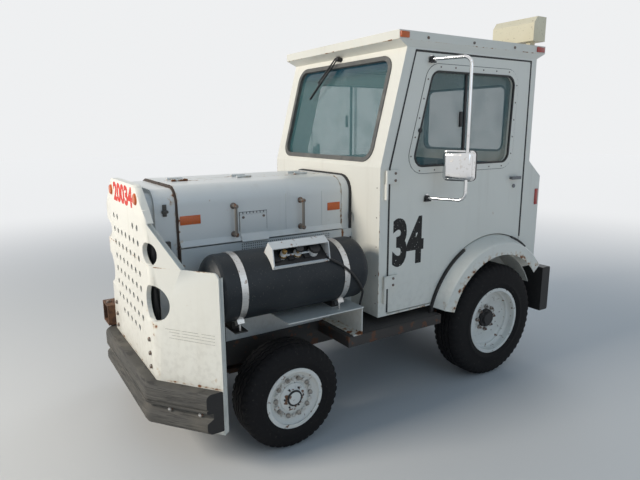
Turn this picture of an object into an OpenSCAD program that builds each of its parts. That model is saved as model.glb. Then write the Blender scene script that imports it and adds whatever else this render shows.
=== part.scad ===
// Airport baggage tug with a closed cab, folded nose plate and side gas tank.
// Millimetres. It faces -Y, its left side is +X, and it stands on z = 0.
// The origin is on the ground under the middle of the whole vehicle.

/* [Overall] */
// Distance between the axles
wheelbase = 1575; // [1550:5:1620]
// Front axle to the front face of the bumper
front_overhang = 702; // [695:1:720]
// Rear axle to the end of the hitch
rear_overhang = 665; // [655:5:700]
// Top of the frame's deck
deck_z = 530; // [525:1:540]

/* [Frame] */
// Half width over the two main rails
rail_half_w = 345; // [335:1:350]
// Depth of a main rail
rail_depth = 140; // [120:5:145]
// Plate thickness of rails and deck
frame_plate = 12; // [8:1:14]
// Half width of the running boards
board_half_w = 660; // [650:5:670]
// Front edge of the running boards, behind the front axle
board_front = 365; // [355:5:375]
// Rear edge of the running boards, behind the front axle
board_rear = 1075; // [1050:5:1080]
// Depth of the lip round the running boards
board_lip = 60; // [40:5:70]

/* [Nose] */
// Half width of the flat centre panel, out to the fold
nose_half_w = 427; // [415:1:435]
// Top of the nose plate
nose_top_z = 1402; // [1398:1:1420]
// Half width of the straight top edge
nose_top_half_w = 250; // [235:5:265]
// Height of the fold's upper end
fold_top_z = 1238; // [1220:2:1250]
// Thickness of the nose plate
nose_plate_t = 8; // [6:1:10]
// Angle that the wings sweep back
wing_angle = 37.5; // [35:0.5:39]
// Length of a wing from fold to end
wing_length = 373; // [365:1:380]
// Height of a wing's level top edge
wing_top_z = 1031; // [1000:1:1060]
// Where a wing's sloping edge meets its level top edge, out from the fold
wing_knee = 176; // [160:2:190]
// Lower edge of the nose plate
nose_bottom_z = 226; // [215:1:240]
// Width of the flange at a wing's end
wing_flange = 38; // [25:1:42]
// Depth of the flange along the sloping edges
edge_return = 36; // [20:2:40]
// Diameter of the cooling holes
vent_d = 19; // [12:1:24]
// Spacing of the cooling holes across
vent_pitch_x = 96; // [80:1:100]
// Spacing of the cooling holes up and down
vent_pitch_z = 72; // [60:1:78]
// Height of the top row of cooling holes
vent_top_z = 1202; // [1195:1:1215]

/* [Bumper] */
// Depth of the rubber in front of the plate
bumper_depth = 66; // [55:1:75]
// Lower edge of the rubber
bumper_bottom_z = 250; // [242:1:260]
// Height of the rubber
bumper_height = 206; // [190:2:215]
// How far the rubber's cut ends stop short of the wings' ends
bumper_inset = 1; // [0:1:8]

/* [Tow tube] */
// Outer width of the tow tube
tow_w = 140; // [130:5:145]
// Outer height of the tow tube
tow_h = 130; // [120:5:135]
// Wall of the tow tube
tow_wall = 10; // [8:1:14]
// Middle of the tow tube from the centre line
tow_x = 528; // [520:2:535]
// How far the tow tube stands out in front of the nose plate
tow_reach = 40; // [30:2:60]

/* [Hood] */
// Half width of the engine covers
hood_half_w = 322; // [315:1:326]
// Top of the engine covers at the middle
hood_top_z = 1390; // [1380:1:1396]
// Radius of the hood's shoulders
shoulder_r = 95; // [80:1:110]
// Sheet thickness of hood, cowl and side panels
sheet = 4; // [3:0.5:5]
// Height of the crease above the covers' flared edge
crease_z = 1112; // [1105:1:1120]
// Height of the flared edge below the crease
flare_h = 32; // [26:1:34]
// How far the flared edge stands out
flare_out = 20; // [10:1:22]
// Front end of the covers, ahead of the front axle
cover_front = 448; // [440:1:460]
// Rear end of the covers, behind the front axle
cover_rear = 543; // [530:1:555]
// Half width of the fixed strip between the covers
spine_half_w = 42; // [35:1:50]
// Half width over the fixed lower side panels
side_half_w = 336; // [334:1:340]
// Length of a grab handle on the covers
handle_length = 168; // [150:2:180]
// Width of the perforations in the side panels
perf_d = 8; // [6:0.5:9]
// Spacing of the perforations
perf_pitch = 13; // [12:0.5:16]

// Width of the engine and gearbox
engine_w = 420; // [400:5:430]
// Length of the engine and gearbox
engine_l = 700; // [660:10:720]
// Free height between the engine and the top of the covers
engine_drop = 300; // [285:5:330]

/* [Cab] */
// Half width of the cab
cab_half_w = 601; // [595:1:606]
// Front wall, behind the front axle
cab_front = 616; // [610:1:622]
// Underside of the cab
cab_floor_z = 579; // [570:1:590]
// Height where the windscreen starts to lean back
brow_z = 1453; // [1440:1:1465]
// How far the windscreen leans back up to the roof
screen_run = 172; // [160:1:180]
// Top of the walls under the roof
cab_top_z = 2106; // [2090:2:2130]
// Rear wall above the step, behind the front axle
cab_rear_upper = 1915; // [1908:1:1925]
// Rear wall below the step, behind the front axle
cab_rear_lower = 2045; // [2035:1:2050]
// Lower end of the sloping step in the rear wall
step_low_z = 1338; // [1325:1:1350]
// Rise of the sloping step
step_rise = 106; // [95:1:115]
// Lower edge of the body behind the rear wheels
tail_bottom_z = 700; // [690:1:710]
// Thickness of walls and doors
cab_wall = 35; // [30:1:40]
// Half width of the windscreen's opening
screen_half_w = 495; // [480:1:500]
// Lower edge of the windscreen's opening, up the slope from the brow
screen_low = 38; // [30:1:45]
// Upper edge of the windscreen's opening, down the slope from the roof
screen_head = 47; // [40:1:60]
// Half width of the rear window
rear_window_half_w = 400; // [380:5:420]
// Width of the rubber round the fixed windows
gasket_w = 14; // [10:1:18]

/* [Seats] */
// Middle of a seat from the centre line
seat_x = 240; // [232:1:244]
// Height of the seat pads' underside above the cab's floor
seat_rise = 319; // [315:1:335]
// Width of a seat pad
pad_w = 430; // [410:2:436]
// Length of a seat pad
pad_l = 345; // [330:5:350]
// Thickness of a seat pad
pad_t = 100; // [90:1:104]
// Width of a backrest pad
back_w = 410; // [390:2:420]
// Height of a backrest pad
back_h = 560; // [530:5:570]
// Thickness of a backrest pad
back_t = 84; // [74:1:88]

/* [Roof] */
// Roof overhang at the front
roof_front = 69; // [60:1:75]
// Roof overhang at the sides
roof_side = 13; // [10:1:20]
// Roof overhang at the rear
roof_rear = 62; // [50:1:75]
// Height of the roof's sloping underside
roof_chamfer = 35; // [30:1:40]
// Height of the roof's edge
roof_edge = 47; // [40:1:55]
// Width of the lamp box on the roof
lamp_w = 325; // [300:5:335]
// Height of the lamp box
lamp_h = 150; // [140:2:170]

/* [Doors] */
// Front edge of a door, behind the front axle
door_front = 690; // [686:1:696]
// Rear edge of a door, behind the front axle
door_rear = 1853; // [1845:1:1860]
// Lower edge of a door
door_bottom_z = 596; // [592:1:604]
// Upper edge of a door
door_top_z = 2084; // [2076:1:2090]
// Gap round a door
door_gap = 7; // [6:0.5:8]
// Sill of the door window
window_low_z = 1449; // [1440:1:1460]
// Head of the door window
window_high_z = 1988; // [1970:1:1996]
// Front edge of the window at its sill, from the door's front edge
window_lead = 154; // [145:1:165]
// Rear edge of the window, from the door's rear edge
window_tail = 149; // [140:1:160]
// Corner radius of the door window
window_r = 62; // [50:1:75]
// Thickness of window glass
glass_t = 5; // [4:0.5:6]
// Reach of a mirror's arms
mirror_reach = 240; // [220:5:250]
// Height between a mirror's two arms
mirror_span = 788; // [770:2:800]
// Width of a mirror's head
mirror_head_w = 190; // [180:2:200]
// Height of a mirror's head
mirror_head_h = 172; // [164:2:180]

/* [Wheels] */
// Outer radius of a front tyre
front_tyre_r = 285; // [280:1:288]
// Width of a front tyre
front_tyre_w = 215; // [208:1:218]
// Flange radius of a front rim
front_flange_r = 166; // [162:1:170]
// Middle of a front tyre from the centre line
front_track_half = 592; // [590:1:598]
// Outer radius of a rear tyre
rear_tyre_r = 386; // [380:1:390]
// Width of a rear tyre
rear_tyre_w = 218; // [212:1:222]
// Flange radius of a rear rim
rear_flange_r = 226; // [222:1:230]
// Middle of a rear tyre from the centre line
rear_track_half = 570; // [566:1:574]
// Kingpins from the centre line
kingpin_x = 455; // [452:1:458]

/* [Fenders] */
// Radius of the fender's lip
lip_r = 443; // [438:1:448]
// Height of the fender's upright face
fender_face = 82; // [70:2:90]
// Radius where the fender meets the body
fender_root_r = 560; // [552:1:566]
// Half width over the lips
lip_half_w = 700; // [695:1:706]

/* [Gas tank] */
// Radius of the tank
tank_r = 172; // [165:1:174]
// Length over the domed ends
tank_length = 940; // [920:5:950]
// Middle of the tank from the centre line
tank_x = 526; // [522:1:532]
// Height of the tank's axis
tank_z = 900; // [896:1:910]
// Middle of the tank, behind the front axle
tank_mid = 50; // [40:2:60]
// Width of the straps
strap_w = 34; // [25:1:40]
// Thickness of the straps
strap_t = 3; // [2:0.5:4]
// Top of the shelf that carries the tank
shelf_z = 696; // [685:1:704]
// Length of the guard over the valves
guard_length = 330; // [300:5:350]

/* [Rear end] */
// Half width of the rear bumper
rear_bumper_half_w = 684; // [670:2:690]
// Lower edge of the rear bumper
rear_bumper_z = 372; // [360:2:385]
// Height of the rear bumper
rear_bumper_h = 320; // [300:5:326]
// Depth of the rear bumper
rear_bumper_depth = 85; // [75:1:90]
// Bore for the drawbar pin
hitch_bore = 32; // [28:1:36]
// Free height between the jaws of the hitch
hitch_gap = 76; // [60:2:80]

/* [Hidden] */
$fn = 48;

// Seats between separate pieces, running fits, and how far a cut runs past a face
seat = 0.3;
fit = 0.05;
past = 1;

// Stations along Y
total_length = front_overhang + wheelbase + rear_overhang;
front_end_y = -total_length / 2;
rear_end_y = total_length / 2;
front_axle_y = front_end_y + front_overhang;
rear_axle_y = front_axle_y + wheelbase;
nose_y = front_end_y + bumper_depth;
nose_back_y = nose_y + nose_plate_t + seat;
cab_front_y = front_axle_y + cab_front;
cab_upper_y = front_axle_y + cab_rear_upper;
cab_lower_y = front_axle_y + cab_rear_lower;
cover_front_y = front_axle_y - cover_front;
cover_rear_y = front_axle_y + cover_rear;
door_front_y = front_axle_y + door_front;
door_rear_y = front_axle_y + door_rear;
board_front_y = front_axle_y + board_front;
board_rear_y = front_axle_y + board_rear;
tank_mid_y = front_axle_y + tank_mid;

// Lean of the windscreen from upright, and lengths up its slope
screen_lean = atan(screen_run / (cab_top_z - brow_z));
screen_slope = (cab_top_z - brow_z) / cos(screen_lean);
screen_high = screen_slope - screen_head;
wall_top_y = cab_front_y + screen_run;
roof_top_z = cab_top_z + roof_chamfer + roof_edge;

// Outlines

function unit(v) = v / norm(v);
function left_normal(a, b) = let (v = unit(b - a)) [-v[1], v[0]];
function flat(p) = [p[0], p[1]];

// Arc of radius r that rounds the corner at b
function corner_arc(a, b, c, r, steps = 8) =
    r <= 0 ? [b] :
    let (u = unit(a - b), v = unit(c - b), half = acos(u * v) / 2, m = b + unit(u + v) * r / sin(half),
        p = b + u * r / tan(half) - m, q = b + v * r / tan(half) - m,
        turn = (atan2(q[1], q[0]) - atan2(p[1], p[0]) + 540) % 360 - 180)
    [for (i = [0:steps]) m + r * [cos(atan2(p[1], p[0]) + turn * i / steps),
        sin(atan2(p[1], p[0]) + turn * i / steps)]];
// Outline from corners given as [across, up, radius]
function rounded(corners) =
    let (n = len(corners))
    [for (i = [0:n - 1]) each corner_arc(flat(corners[(i + n - 1) % n]), flat(corners[i]),
        flat(corners[(i + 1) % n]), corners[i][2])];
// Corners of an anticlockwise outline moved inwards by d, their radii with them
function inset(corners, d) =
    let (n = len(corners))
    [for (i = [0:n - 1]) let (b = flat(corners[i]), n1 = left_normal(flat(corners[(i + n - 1) % n]), b),
        n2 = left_normal(b, flat(corners[(i + 1) % n])), q = b + d * (n1 + n2) / (1 + n1 * n2))
        [q[0], q[1], corners[i][2] > 0 ? max(0, corners[i][2] - d) : 0]];
function reversed(points) = [for (i = [len(points) - 1:-1:0]) points[i]];
function half_ellipse(reach, half_h, z, side) =
    [for (t = [-90:15:90]) [side * reach * cos(t), z + side * half_h * sin(t)]];

// Helpers

// A copy for the vehicle's other side
module both_sides() {
    children();
    mirror([1, 0, 0]) children();
}
// Turns an outline drawn in (y, z) into a slab from x0 to x1
module side_slab(x0, x1) {
    translate([x0, 0, 0]) rotate([90, 0, 90]) linear_extrude(x1 - x0) children();
}
// Turns an outline drawn in (x, z) into a slab from y0 to y1
module across(y0, y1) {
    translate([0, y1, 0]) rotate([90, 0, 0]) linear_extrude(y1 - y0) children();
}
// A block between two corners
module block(low, high) {
    translate(low) cube(high - low);
}
// A bar along X by its ends, centre line and radius
module bar_x(x0, x1, y, z, r, facets = 48) {
    translate([x0, y, z]) rotate([0, 90, 0]) cylinder(h = x1 - x0, r = r, $fn = facets);
}
// A bar along Y
module bar_y(y0, y1, x, z, r, facets = 48) {
    translate([x, y0, z]) rotate([-90, 0, 0]) cylinder(h = y1 - y0, r = r, $fn = facets);
}
// Rectangle with round corners
module round_rect(x0, y0, x1, y1, r) {
    polygon(rounded([[x0, y0, r], [x1, y0, r], [x1, y1, r], [x0, y1, r]]));
}

// Frame

// Radius of the rear axle's tubes, which pass through notches in the rails
axle_tube_r = 45;
module frame() {
    rear_y = cab_lower_y - seat;
    deck_low = deck_z - frame_plate;
    rail_low = deck_z - rail_depth;
    color("#3a3533") {
        both_sides() {
            // Main rail, notched over the rear axle
            difference() {
                block([rail_half_w - frame_plate, nose_back_y, rail_low], [rail_half_w, rear_y, deck_z]);
                bar_x(rail_half_w - frame_plate - past, rail_half_w + past, rear_axle_y, rear_tyre_r,
                    axle_tube_r + 18);
            }
            // Lip round the running board
            block([board_half_w - frame_plate, board_front_y, deck_z - board_lip],
                [board_half_w, board_rear_y, deck_z]);
            for (y = [board_front_y, board_rear_y - frame_plate])
                block([rail_half_w - frame_plate, y, deck_z - board_lip],
                    [board_half_w, y + frame_plate, deck_z]);
        }
        // Deck between the rails, and the running boards
        block([-rail_half_w, nose_back_y, deck_low], [rail_half_w, rear_y, deck_z]);
        block([-board_half_w, board_front_y, deck_low], [board_half_w, board_rear_y, deck_z]);
        // Cross members at the ends and at the middle
        for (y = [nose_back_y, (front_axle_y + rear_axle_y) / 2, rear_y - frame_plate])
            block([-rail_half_w, y, rail_low], [rail_half_w, y + frame_plate, deck_z]);
    }
}

// Nose

// Corners of the centre panel, and of one wing unfolded along s from the fold
NOSE_CORNERS = [[-nose_half_w, nose_bottom_z, 0], [nose_half_w, nose_bottom_z, 0],
    [nose_half_w, fold_top_z, 0], [nose_half_w - 54, fold_top_z + 56, 60],
    [nose_top_half_w, nose_top_z, 50], [-nose_top_half_w, nose_top_z, 50],
    [-nose_half_w + 54, fold_top_z + 56, 60], [-nose_half_w, fold_top_z, 0]];
wing_slope = (fold_top_z - wing_top_z) / wing_knee;
function wing_corners(s0) = [[s0, nose_bottom_z, 0], [wing_length, nose_bottom_z, 0],
    [wing_length, wing_top_z, 28], [wing_knee, wing_top_z, 0], [s0, fold_top_z - s0 * wing_slope, 0]];
// Openings across the fold: height, half height, reach on the centre panel, reach on the wing
FOLD_SLOTS = [[1092, 56, 98, 50], [850, 92, 86, 104]];
collar_t = 5;
collar_depth = 22;
// Rows of cooling holes from the top: nearest and farthest hole from the middle, in pitches
VENT_ROWS = [[2, 3], [0, 3], [0, 3], [0, 3], [0, 3], [0, 3], [0, 3], [0, 2]];
tow_z = bumper_bottom_z + bumper_height + 8;

module slots(grow, panel) {
    for (slot = FOLD_SLOTS) let (reach = panel > 0 ? slot[3] : slot[2])
        for (side = [-1, 1]) polygon(half_ellipse(reach + grow, slot[1] + grow, slot[0], side));
}
module nose_vents() {
    for (row = [0:len(VENT_ROWS) - 1], side = [-1, 1], col = [VENT_ROWS[row][0]:VENT_ROWS[row][1]])
        if (side > 0 || col > 0)
            translate([side * col * vent_pitch_x, vent_top_z - row * vent_pitch_z])
                circle(d = vent_d, $fn = 24);
}
// Strip along the upper edge of an outline, above a height
module edge_strip(corners, from_s, to_s, low) {
    intersection() {
        difference() {
            polygon(rounded(corners));
            polygon(rounded(inset(corners, nose_plate_t)));
        }
        translate([from_s, low]) square([to_s - from_s, nose_top_z - low + past]);
    }
}
module nose_wing() {
    translate([nose_half_w, nose_y, 0]) rotate([0, 0, wing_angle]) {
        across(0, nose_plate_t) difference() {
            polygon(rounded(wing_corners(0)));
            slots(0, 1);
        }
        // Flange along the sloping edge, and collars round the openings
        across(nose_plate_t / 2, edge_return)
            edge_strip(wing_corners(-edge_return), 0, wing_knee, wing_top_z - nose_plate_t);
        across(nose_plate_t / 2, collar_depth) intersection() {
            difference() {
                slots(collar_t, 1);
                slots(0, 1);
            }
            translate([0, nose_bottom_z]) square([wing_length, fold_top_z - nose_bottom_z]);
        }
        // Flange at the end
        block([wing_length - nose_plate_t, 0, nose_bottom_z],
            [wing_length, wing_flange, wing_top_z - 28]);
    }
}
module nose_plate() {
    color("#e8e4d6") difference() {
        union() {
            across(nose_y, nose_y + nose_plate_t) difference() {
                polygon(rounded(NOSE_CORNERS));
                nose_vents();
                for (side = [-1, 1]) translate([side * nose_half_w, 0]) slots(0, 0);
            }
            across(nose_y + nose_plate_t / 2, nose_y + edge_return)
                edge_strip(NOSE_CORNERS, -nose_half_w, nose_half_w, fold_top_z);
            across(nose_y + nose_plate_t / 2, nose_y + collar_depth) intersection() {
                for (side = [-1, 1]) translate([side * nose_half_w, 0]) difference() {
                    slots(collar_t, 0);
                    slots(0, 0);
                }
                translate([-nose_half_w, nose_bottom_z])
                    square([2 * nose_half_w, fold_top_z - nose_bottom_z]);
            }
            both_sides() nose_wing();
        }
        // Window in the right wing for the tow tube
        block([-tow_x - tow_w / 2 - 2, nose_y - past, tow_z - 2],
            [-tow_x + tow_w / 2 + 2, nose_y + wing_length, tow_z + tow_h + 2]);
    }
}

// Line parallel to the nose plate at distance d in front of it, from side to side
function bumper_line(d, half_w) =
    let (m = [nose_half_w + d * tan(wing_angle / 2), nose_y - d],
        e = [half_w, m[1] + (half_w - m[0]) * tan(wing_angle)])
    [[-e[0], e[1]], [-m[0], m[1]], m, e];
bumper_half_w = nose_half_w + wing_length * cos(wing_angle) - bumper_inset;
module bumper_band(d0, d1, half_w) {
    polygon(concat(bumper_line(d1, half_w), reversed(bumper_line(d0, half_w))));
}
// Grooves along the rubber: height above its lower edge, width, depth
GROOVES = [[76, 20, 12], [150, 9, 7]];
module front_bumper() {
    color("#4a4846") difference() {
        translate([0, 0, bumper_bottom_z]) linear_extrude(bumper_height)
            bumper_band(seat, bumper_depth, bumper_half_w);
        for (groove = GROOVES) translate([0, 0, bumper_bottom_z + groove[0]])
            linear_extrude(groove[1])
                bumper_band(bumper_depth - groove[2], bumper_depth + past, bumper_half_w + past);
    }
}

module tow_tube() {
    back_y = nose_y + 230;
    bracket = 80;
    in_x = -tow_x + tow_w / 2;
    rail_x = -rail_half_w - seat;
    color("#6b4a3a") {
        difference() {
            block([in_x - tow_w, nose_y - tow_reach, tow_z], [in_x, back_y, tow_z + tow_h]);
            block([in_x - tow_w + tow_wall, nose_y - tow_reach - past, tow_z + tow_wall],
                [in_x - tow_wall, back_y + past, tow_z + tow_h - tow_wall]);
        }
        // Bracket to the side of the rail
        block([in_x - tow_wall / 2, back_y - bracket - tow_wall, tow_z],
            [rail_x, back_y - tow_wall, tow_z + frame_plate]);
        block([rail_x - frame_plate, back_y - bracket - tow_wall, deck_z - rail_depth + tow_wall],
            [rail_x, back_y - tow_wall, tow_z + frame_plate]);
    }
}

// Hood

// Outline of the hood in (x, z), down to a lower edge
module hood_outline(half_w, r, top, low) {
    translate([-half_w, low]) square([2 * half_w, top - r - low]);
    translate([-half_w + r, low]) square([2 * (half_w - r), top - low]);
    for (side = [-1, 1]) translate([side * (half_w - r), top - r]) circle(r);
}
module hood_shell(margin, low, wall) {
    difference() {
        hood_outline(hood_half_w - margin, shoulder_r - margin, hood_top_z - margin, low);
        hood_outline(hood_half_w - margin - wall, shoulder_r - margin - wall,
            hood_top_z - margin - wall, low - past);
    }
}

cowl_step_y = front_axle_y - 556;
hood_front_y = cover_front_y - 7;
cowl_rear_y = hood_front_y - seat;
// Two sheet hoops of the cowl, the front one narrower, joined by an inner ring
module radiator_cowl() {
    low = deck_z + seat;
    color("#e4e0d2") {
        across(nose_back_y, cowl_step_y) hood_shell(34, low, sheet);
        across(cowl_step_y - sheet, cowl_step_y) hood_shell(14, low, 20 + sheet);
        across(cowl_step_y - sheet, cowl_rear_y) hood_shell(14, low, sheet);
        across(cowl_rear_y - 12, cowl_rear_y) hood_shell(14, low, 40);
    }
}
module radiator() {
    color("#26282a") block([-230, nose_back_y + 32, deck_z + seat],
        [230, nose_back_y + 92, deck_z + seat + 700]);
}

// Hinges of the covers along the spine: middle of each, from the covers' front end
COVER_HINGES = [110, 495, 880];
cover_axis = [spine_half_w + 1.5, hood_top_z + 7];
cover_pin_r = 3;
cover_barrel_r = 6;
cover_leaf = 30;
panel_top_z = crease_z - flare_h - 6;
module hood_frame() {
    rear_y = cab_front_y - seat;
    low = deck_z + seat;
    color("#e4e0d2") {
        // Fixed strip along the top, stiffened below
        block([-spine_half_w, hood_front_y, hood_top_z - sheet], [spine_half_w, rear_y, hood_top_z]);
        block([-spine_half_w + 12, hood_front_y, hood_top_z - 22],
            [spine_half_w - 12, rear_y, hood_top_z - sheet / 2]);
        // Hoops under both ends of the covers, and the collar at the cab
        across(cover_rear_y + 6, rear_y) hood_shell(0, low, sheet);
        for (y = [hood_front_y, cover_rear_y - 24]) across(y, y + 30) hood_shell(sheet + 1, low, 25);
        // Lower side panel with a turned-in upper edge and a band of perforations
        both_sides() {
            block([hood_half_w - 30, hood_front_y, panel_top_z - sheet],
                [side_half_w, rear_y, panel_top_z]);
            side_slab(side_half_w - sheet, side_half_w) difference() {
                translate([hood_front_y, low]) square([rear_y - hood_front_y, panel_top_z - low]);
                for (y = [front_axle_y - 110:perf_pitch:front_axle_y + 450], row = [0:2])
                    translate([y, panel_top_z - 14 - row * perf_pitch]) circle(d = perf_d, $fn = 6);
            }
            // Fixed halves of the cover hinges, with the pin
            for (at = COVER_HINGES) {
                bar_y(cover_front_y + at - cover_leaf * 1.5, cover_front_y + at + cover_leaf * 1.5,
                    cover_axis[0], cover_axis[1], cover_pin_r);
                for (end = [-1.5, 0.5]) translate([0, cover_front_y + at + end * cover_leaf, 0]) {
                    bar_y(0, cover_leaf, cover_axis[0], cover_axis[1], cover_barrel_r);
                    block([spine_half_w - 6, 0, hood_top_z - past],
                        [spine_half_w, cover_leaf, cover_axis[1]]);
                }
            }
        }
    }
}
module engine_block() {
    front_y = cab_front_y - 216 - engine_l;
    color("#4c4f52") block([-engine_w / 2, front_y, deck_z + seat],
        [engine_w / 2, front_y + engine_l, hood_top_z - engine_drop]);
}

// The left engine cover: shell from the spine down to the flared edge, with its handles
HANDLES = [-150, 262];
module engine_cover() {
    edge_x = spine_half_w + 3;
    handle_z = crease_z + 84;
    color("#e4e0d2") {
        across(cover_front_y, cover_rear_y) {
            intersection() {
                hood_shell(0, crease_z - 6, sheet);
                translate([edge_x, crease_z - 6]) square([hood_half_w, hood_top_z - crease_z + 6]);
            }
            polygon([[hood_half_w - sheet, crease_z - 6], [hood_half_w, crease_z],
                [hood_half_w + flare_out, crease_z - flare_h + 4],
                [hood_half_w + flare_out - sheet, crease_z - flare_h]]);
        }
        // Bored halves of the hinges
        for (at = COVER_HINGES) translate([0, cover_front_y + at - cover_leaf / 2 + seat, 0])
            difference() {
                union() {
                    bar_y(0, cover_leaf - 2 * seat, cover_axis[0], cover_axis[1], cover_barrel_r);
                    block([edge_x, 0, hood_top_z - past],
                        [edge_x + 5, cover_leaf - 2 * seat, cover_axis[1]]);
                }
                bar_y(-past, cover_leaf, cover_axis[0], cover_axis[1], cover_pin_r + fit);
            }
        // Flap over the catch, bent out at its lower end
        across(front_axle_y - 114, front_axle_y + 44) polygon([[hood_half_w - past, crease_z + 110],
            [hood_half_w + 5, crease_z + 110], [hood_half_w + 5, crease_z + 6],
            [hood_half_w + flare_out + 12, crease_z - flare_h - 2],
            [hood_half_w + flare_out + 8, crease_z - flare_h - 5],
            [hood_half_w - past, crease_z + 2]]);
    }
    // Grab handles
    color("#9a9a96") for (y = HANDLES) translate([0, front_axle_y + y, handle_z]) {
        for (end = [-1, 1]) bar_x(hood_half_w - past, hood_half_w + 36, 0,
            end * (handle_length / 2 - 8), 8, 24);
        translate([hood_half_w + 36, 0, -handle_length / 2])
            cylinder(h = handle_length, r = 8, $fn = 24);
    }
}
module cover_left() { engine_cover(); }
module cover_right() { mirror([1, 0, 0]) engine_cover(); }

// Cab

// Corners of the cab in (y, z), anticlockwise from the lower front one, up to a height
step_high_z = step_low_z + step_rise;
function cab_corners(top) = [[cab_front_y, cab_floor_z, 0], [cab_lower_y, cab_floor_z, 0],
    [cab_lower_y, step_low_z, 0], [cab_upper_y, step_high_z, 0], [cab_upper_y, top, 0],
    [cab_front_y + (top - brow_z) * tan(screen_lean), top, 0], [cab_front_y, brow_z, 0]];
arch_r = lip_r + 21;
house_x = rear_track_half - rear_tyre_w / 2 - 22;
house_t = 6;
mount_r = 30;

// Door outline in (y, z), grown by a margin
door_break_z = brow_z - 5;
fender_centre_z = rear_tyre_r + 20;
module door_outline(grow = 0) {
    lean = (door_top_z - door_break_z) * tan(screen_lean);
    difference() {
        polygon(rounded(inset([[door_front_y, door_bottom_z, 0], [door_rear_y, door_bottom_z, 0],
            [door_rear_y, door_top_z, 14], [door_front_y + lean, door_top_z, 14],
            [door_front_y, door_break_z, 0]], -grow)));
        translate([rear_axle_y, fender_centre_z])
            circle(fender_root_r + door_gap + 2 - grow, $fn = 96);
    }
}
// Window outline in a door, shrunk by a margin
window_front_y = door_front_y + window_lead;
window_rear_y = door_rear_y - window_tail;
module door_window_outline(shrink = 0) {
    lean = (window_high_z - window_low_z) * tan(screen_lean);
    polygon(rounded(inset([[window_front_y, window_low_z, window_r],
        [window_rear_y - 20, window_low_z, window_r], [window_rear_y, window_high_z, window_r],
        [window_front_y + lean, window_high_z, window_r]], shrink)));
}

module wheel_arch(r) {
    translate([rear_axle_y, rear_tyre_r]) circle(r, $fn = 96);
}
module cab_shell() {
    side_h = step_low_z - cab_floor_z;
    color("#e6e2d4") {
        difference() {
            side_slab(-cab_half_w, cab_half_w) polygon(rounded(cab_corners(cab_top_z)));
            // Hollow inside, open under the roof
            side_slab(-cab_half_w + cab_wall, cab_half_w - cab_wall)
                polygon(rounded(inset(cab_corners(cab_top_z + 2 * cab_wall), cab_wall)));
            both_sides() {
                side_slab(cab_half_w - cab_wall - past, cab_half_w + past) door_outline(door_gap);
                // Arch over the rear wheel and the cut below the tail
                side_slab(house_x, cab_half_w + past) wheel_arch(arch_r);
                block([house_x, rear_axle_y, cab_floor_z - past],
                    [cab_half_w + past, cab_lower_y + past, tail_bottom_z]);
            }
            on_screen(-past, cab_wall + past) screen_outline(0);
            across(cab_upper_y - cab_wall - past, cab_upper_y + past) rear_window_outline(0);
        }
        // Wheel houses inside the cab
        both_sides() {
            side_slab(house_x - house_t, cab_half_w - past) intersection() {
                difference() {
                    wheel_arch(arch_r + house_t);
                    wheel_arch(arch_r);
                }
                translate([cab_front_y, cab_floor_z]) square([cab_lower_y - cab_front_y, side_h]);
            }
            side_slab(house_x - house_t, house_x) intersection() {
                wheel_arch(arch_r + house_t);
                translate([cab_front_y, cab_floor_z]) square([cab_lower_y - cab_front_y, side_h]);
            }
            for (z = HINGES) hinge_post(z);
            // Rubber mounts down to the deck
            for (y = [cab_front_y + 2 * mount_r, board_rear_y + 2 * mount_r, cab_lower_y - 3 * mount_r])
                translate([rail_half_w - 1.5 * mount_r, y, deck_z + seat])
                    cylinder(h = cab_floor_z - deck_z + past, r = mount_r);
        }
    }
}

// Places an outline on the leaning windscreen wall: t is the depth below its outer face
module on_screen(t0, t1) {
    translate([0, cab_front_y, brow_z]) rotate([90 - screen_lean, 0, 0])
        translate([0, 0, -t1]) linear_extrude(t1 - t0) children();
}
screen_r = 75;
module screen_outline(margin) {
    round_rect(-screen_half_w + margin, screen_low + margin,
        screen_half_w - margin, screen_high - margin, screen_r - margin);
}
rear_window_low_z = step_high_z + 56;
rear_window_high_z = cab_top_z - 146;
rear_window_r = 60;
module rear_window_outline(margin) {
    round_rect(-rear_window_half_w + margin, rear_window_low_z + margin,
        rear_window_half_w - margin, rear_window_high_z - margin, rear_window_r - margin);
}
// Depths of the fixed panes below the outer faces
pane_t0 = cab_wall / 2 - glass_t / 2;
pane_t1 = cab_wall / 2 + glass_t / 2;
module cab_glass() {
    color("#9fb8bd") {
        on_screen(pane_t0, pane_t1) screen_outline(gasket_w);
        across(cab_upper_y - pane_t1, cab_upper_y - pane_t0) rear_window_outline(gasket_w);
    }
}
// Rubber section: a lip over the wall outside, and a groove that holds the pane
module window_gaskets() {
    proud = 7;
    lip = 12;
    color("#6f6c66") {
        difference() {
            union() {
                on_screen(-proud, -seat) screen_outline(-lip);
                on_screen(-proud, cab_wall) screen_outline(seat);
            }
            on_screen(-proud - past, cab_wall + past) screen_outline(gasket_w + seat);
            on_screen(pane_t0 - seat, pane_t1 + seat) screen_outline(gasket_w - seat);
        }
        difference() {
            union() {
                across(cab_upper_y + seat, cab_upper_y + proud) rear_window_outline(-lip);
                across(cab_upper_y - cab_wall, cab_upper_y + proud) rear_window_outline(seat);
            }
            across(cab_upper_y - cab_wall - past, cab_upper_y + proud + past)
                rear_window_outline(gasket_w + seat);
            across(cab_upper_y - pane_t1 - seat, cab_upper_y - pane_t0 + seat)
                rear_window_outline(gasket_w - seat);
        }
    }
}

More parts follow.
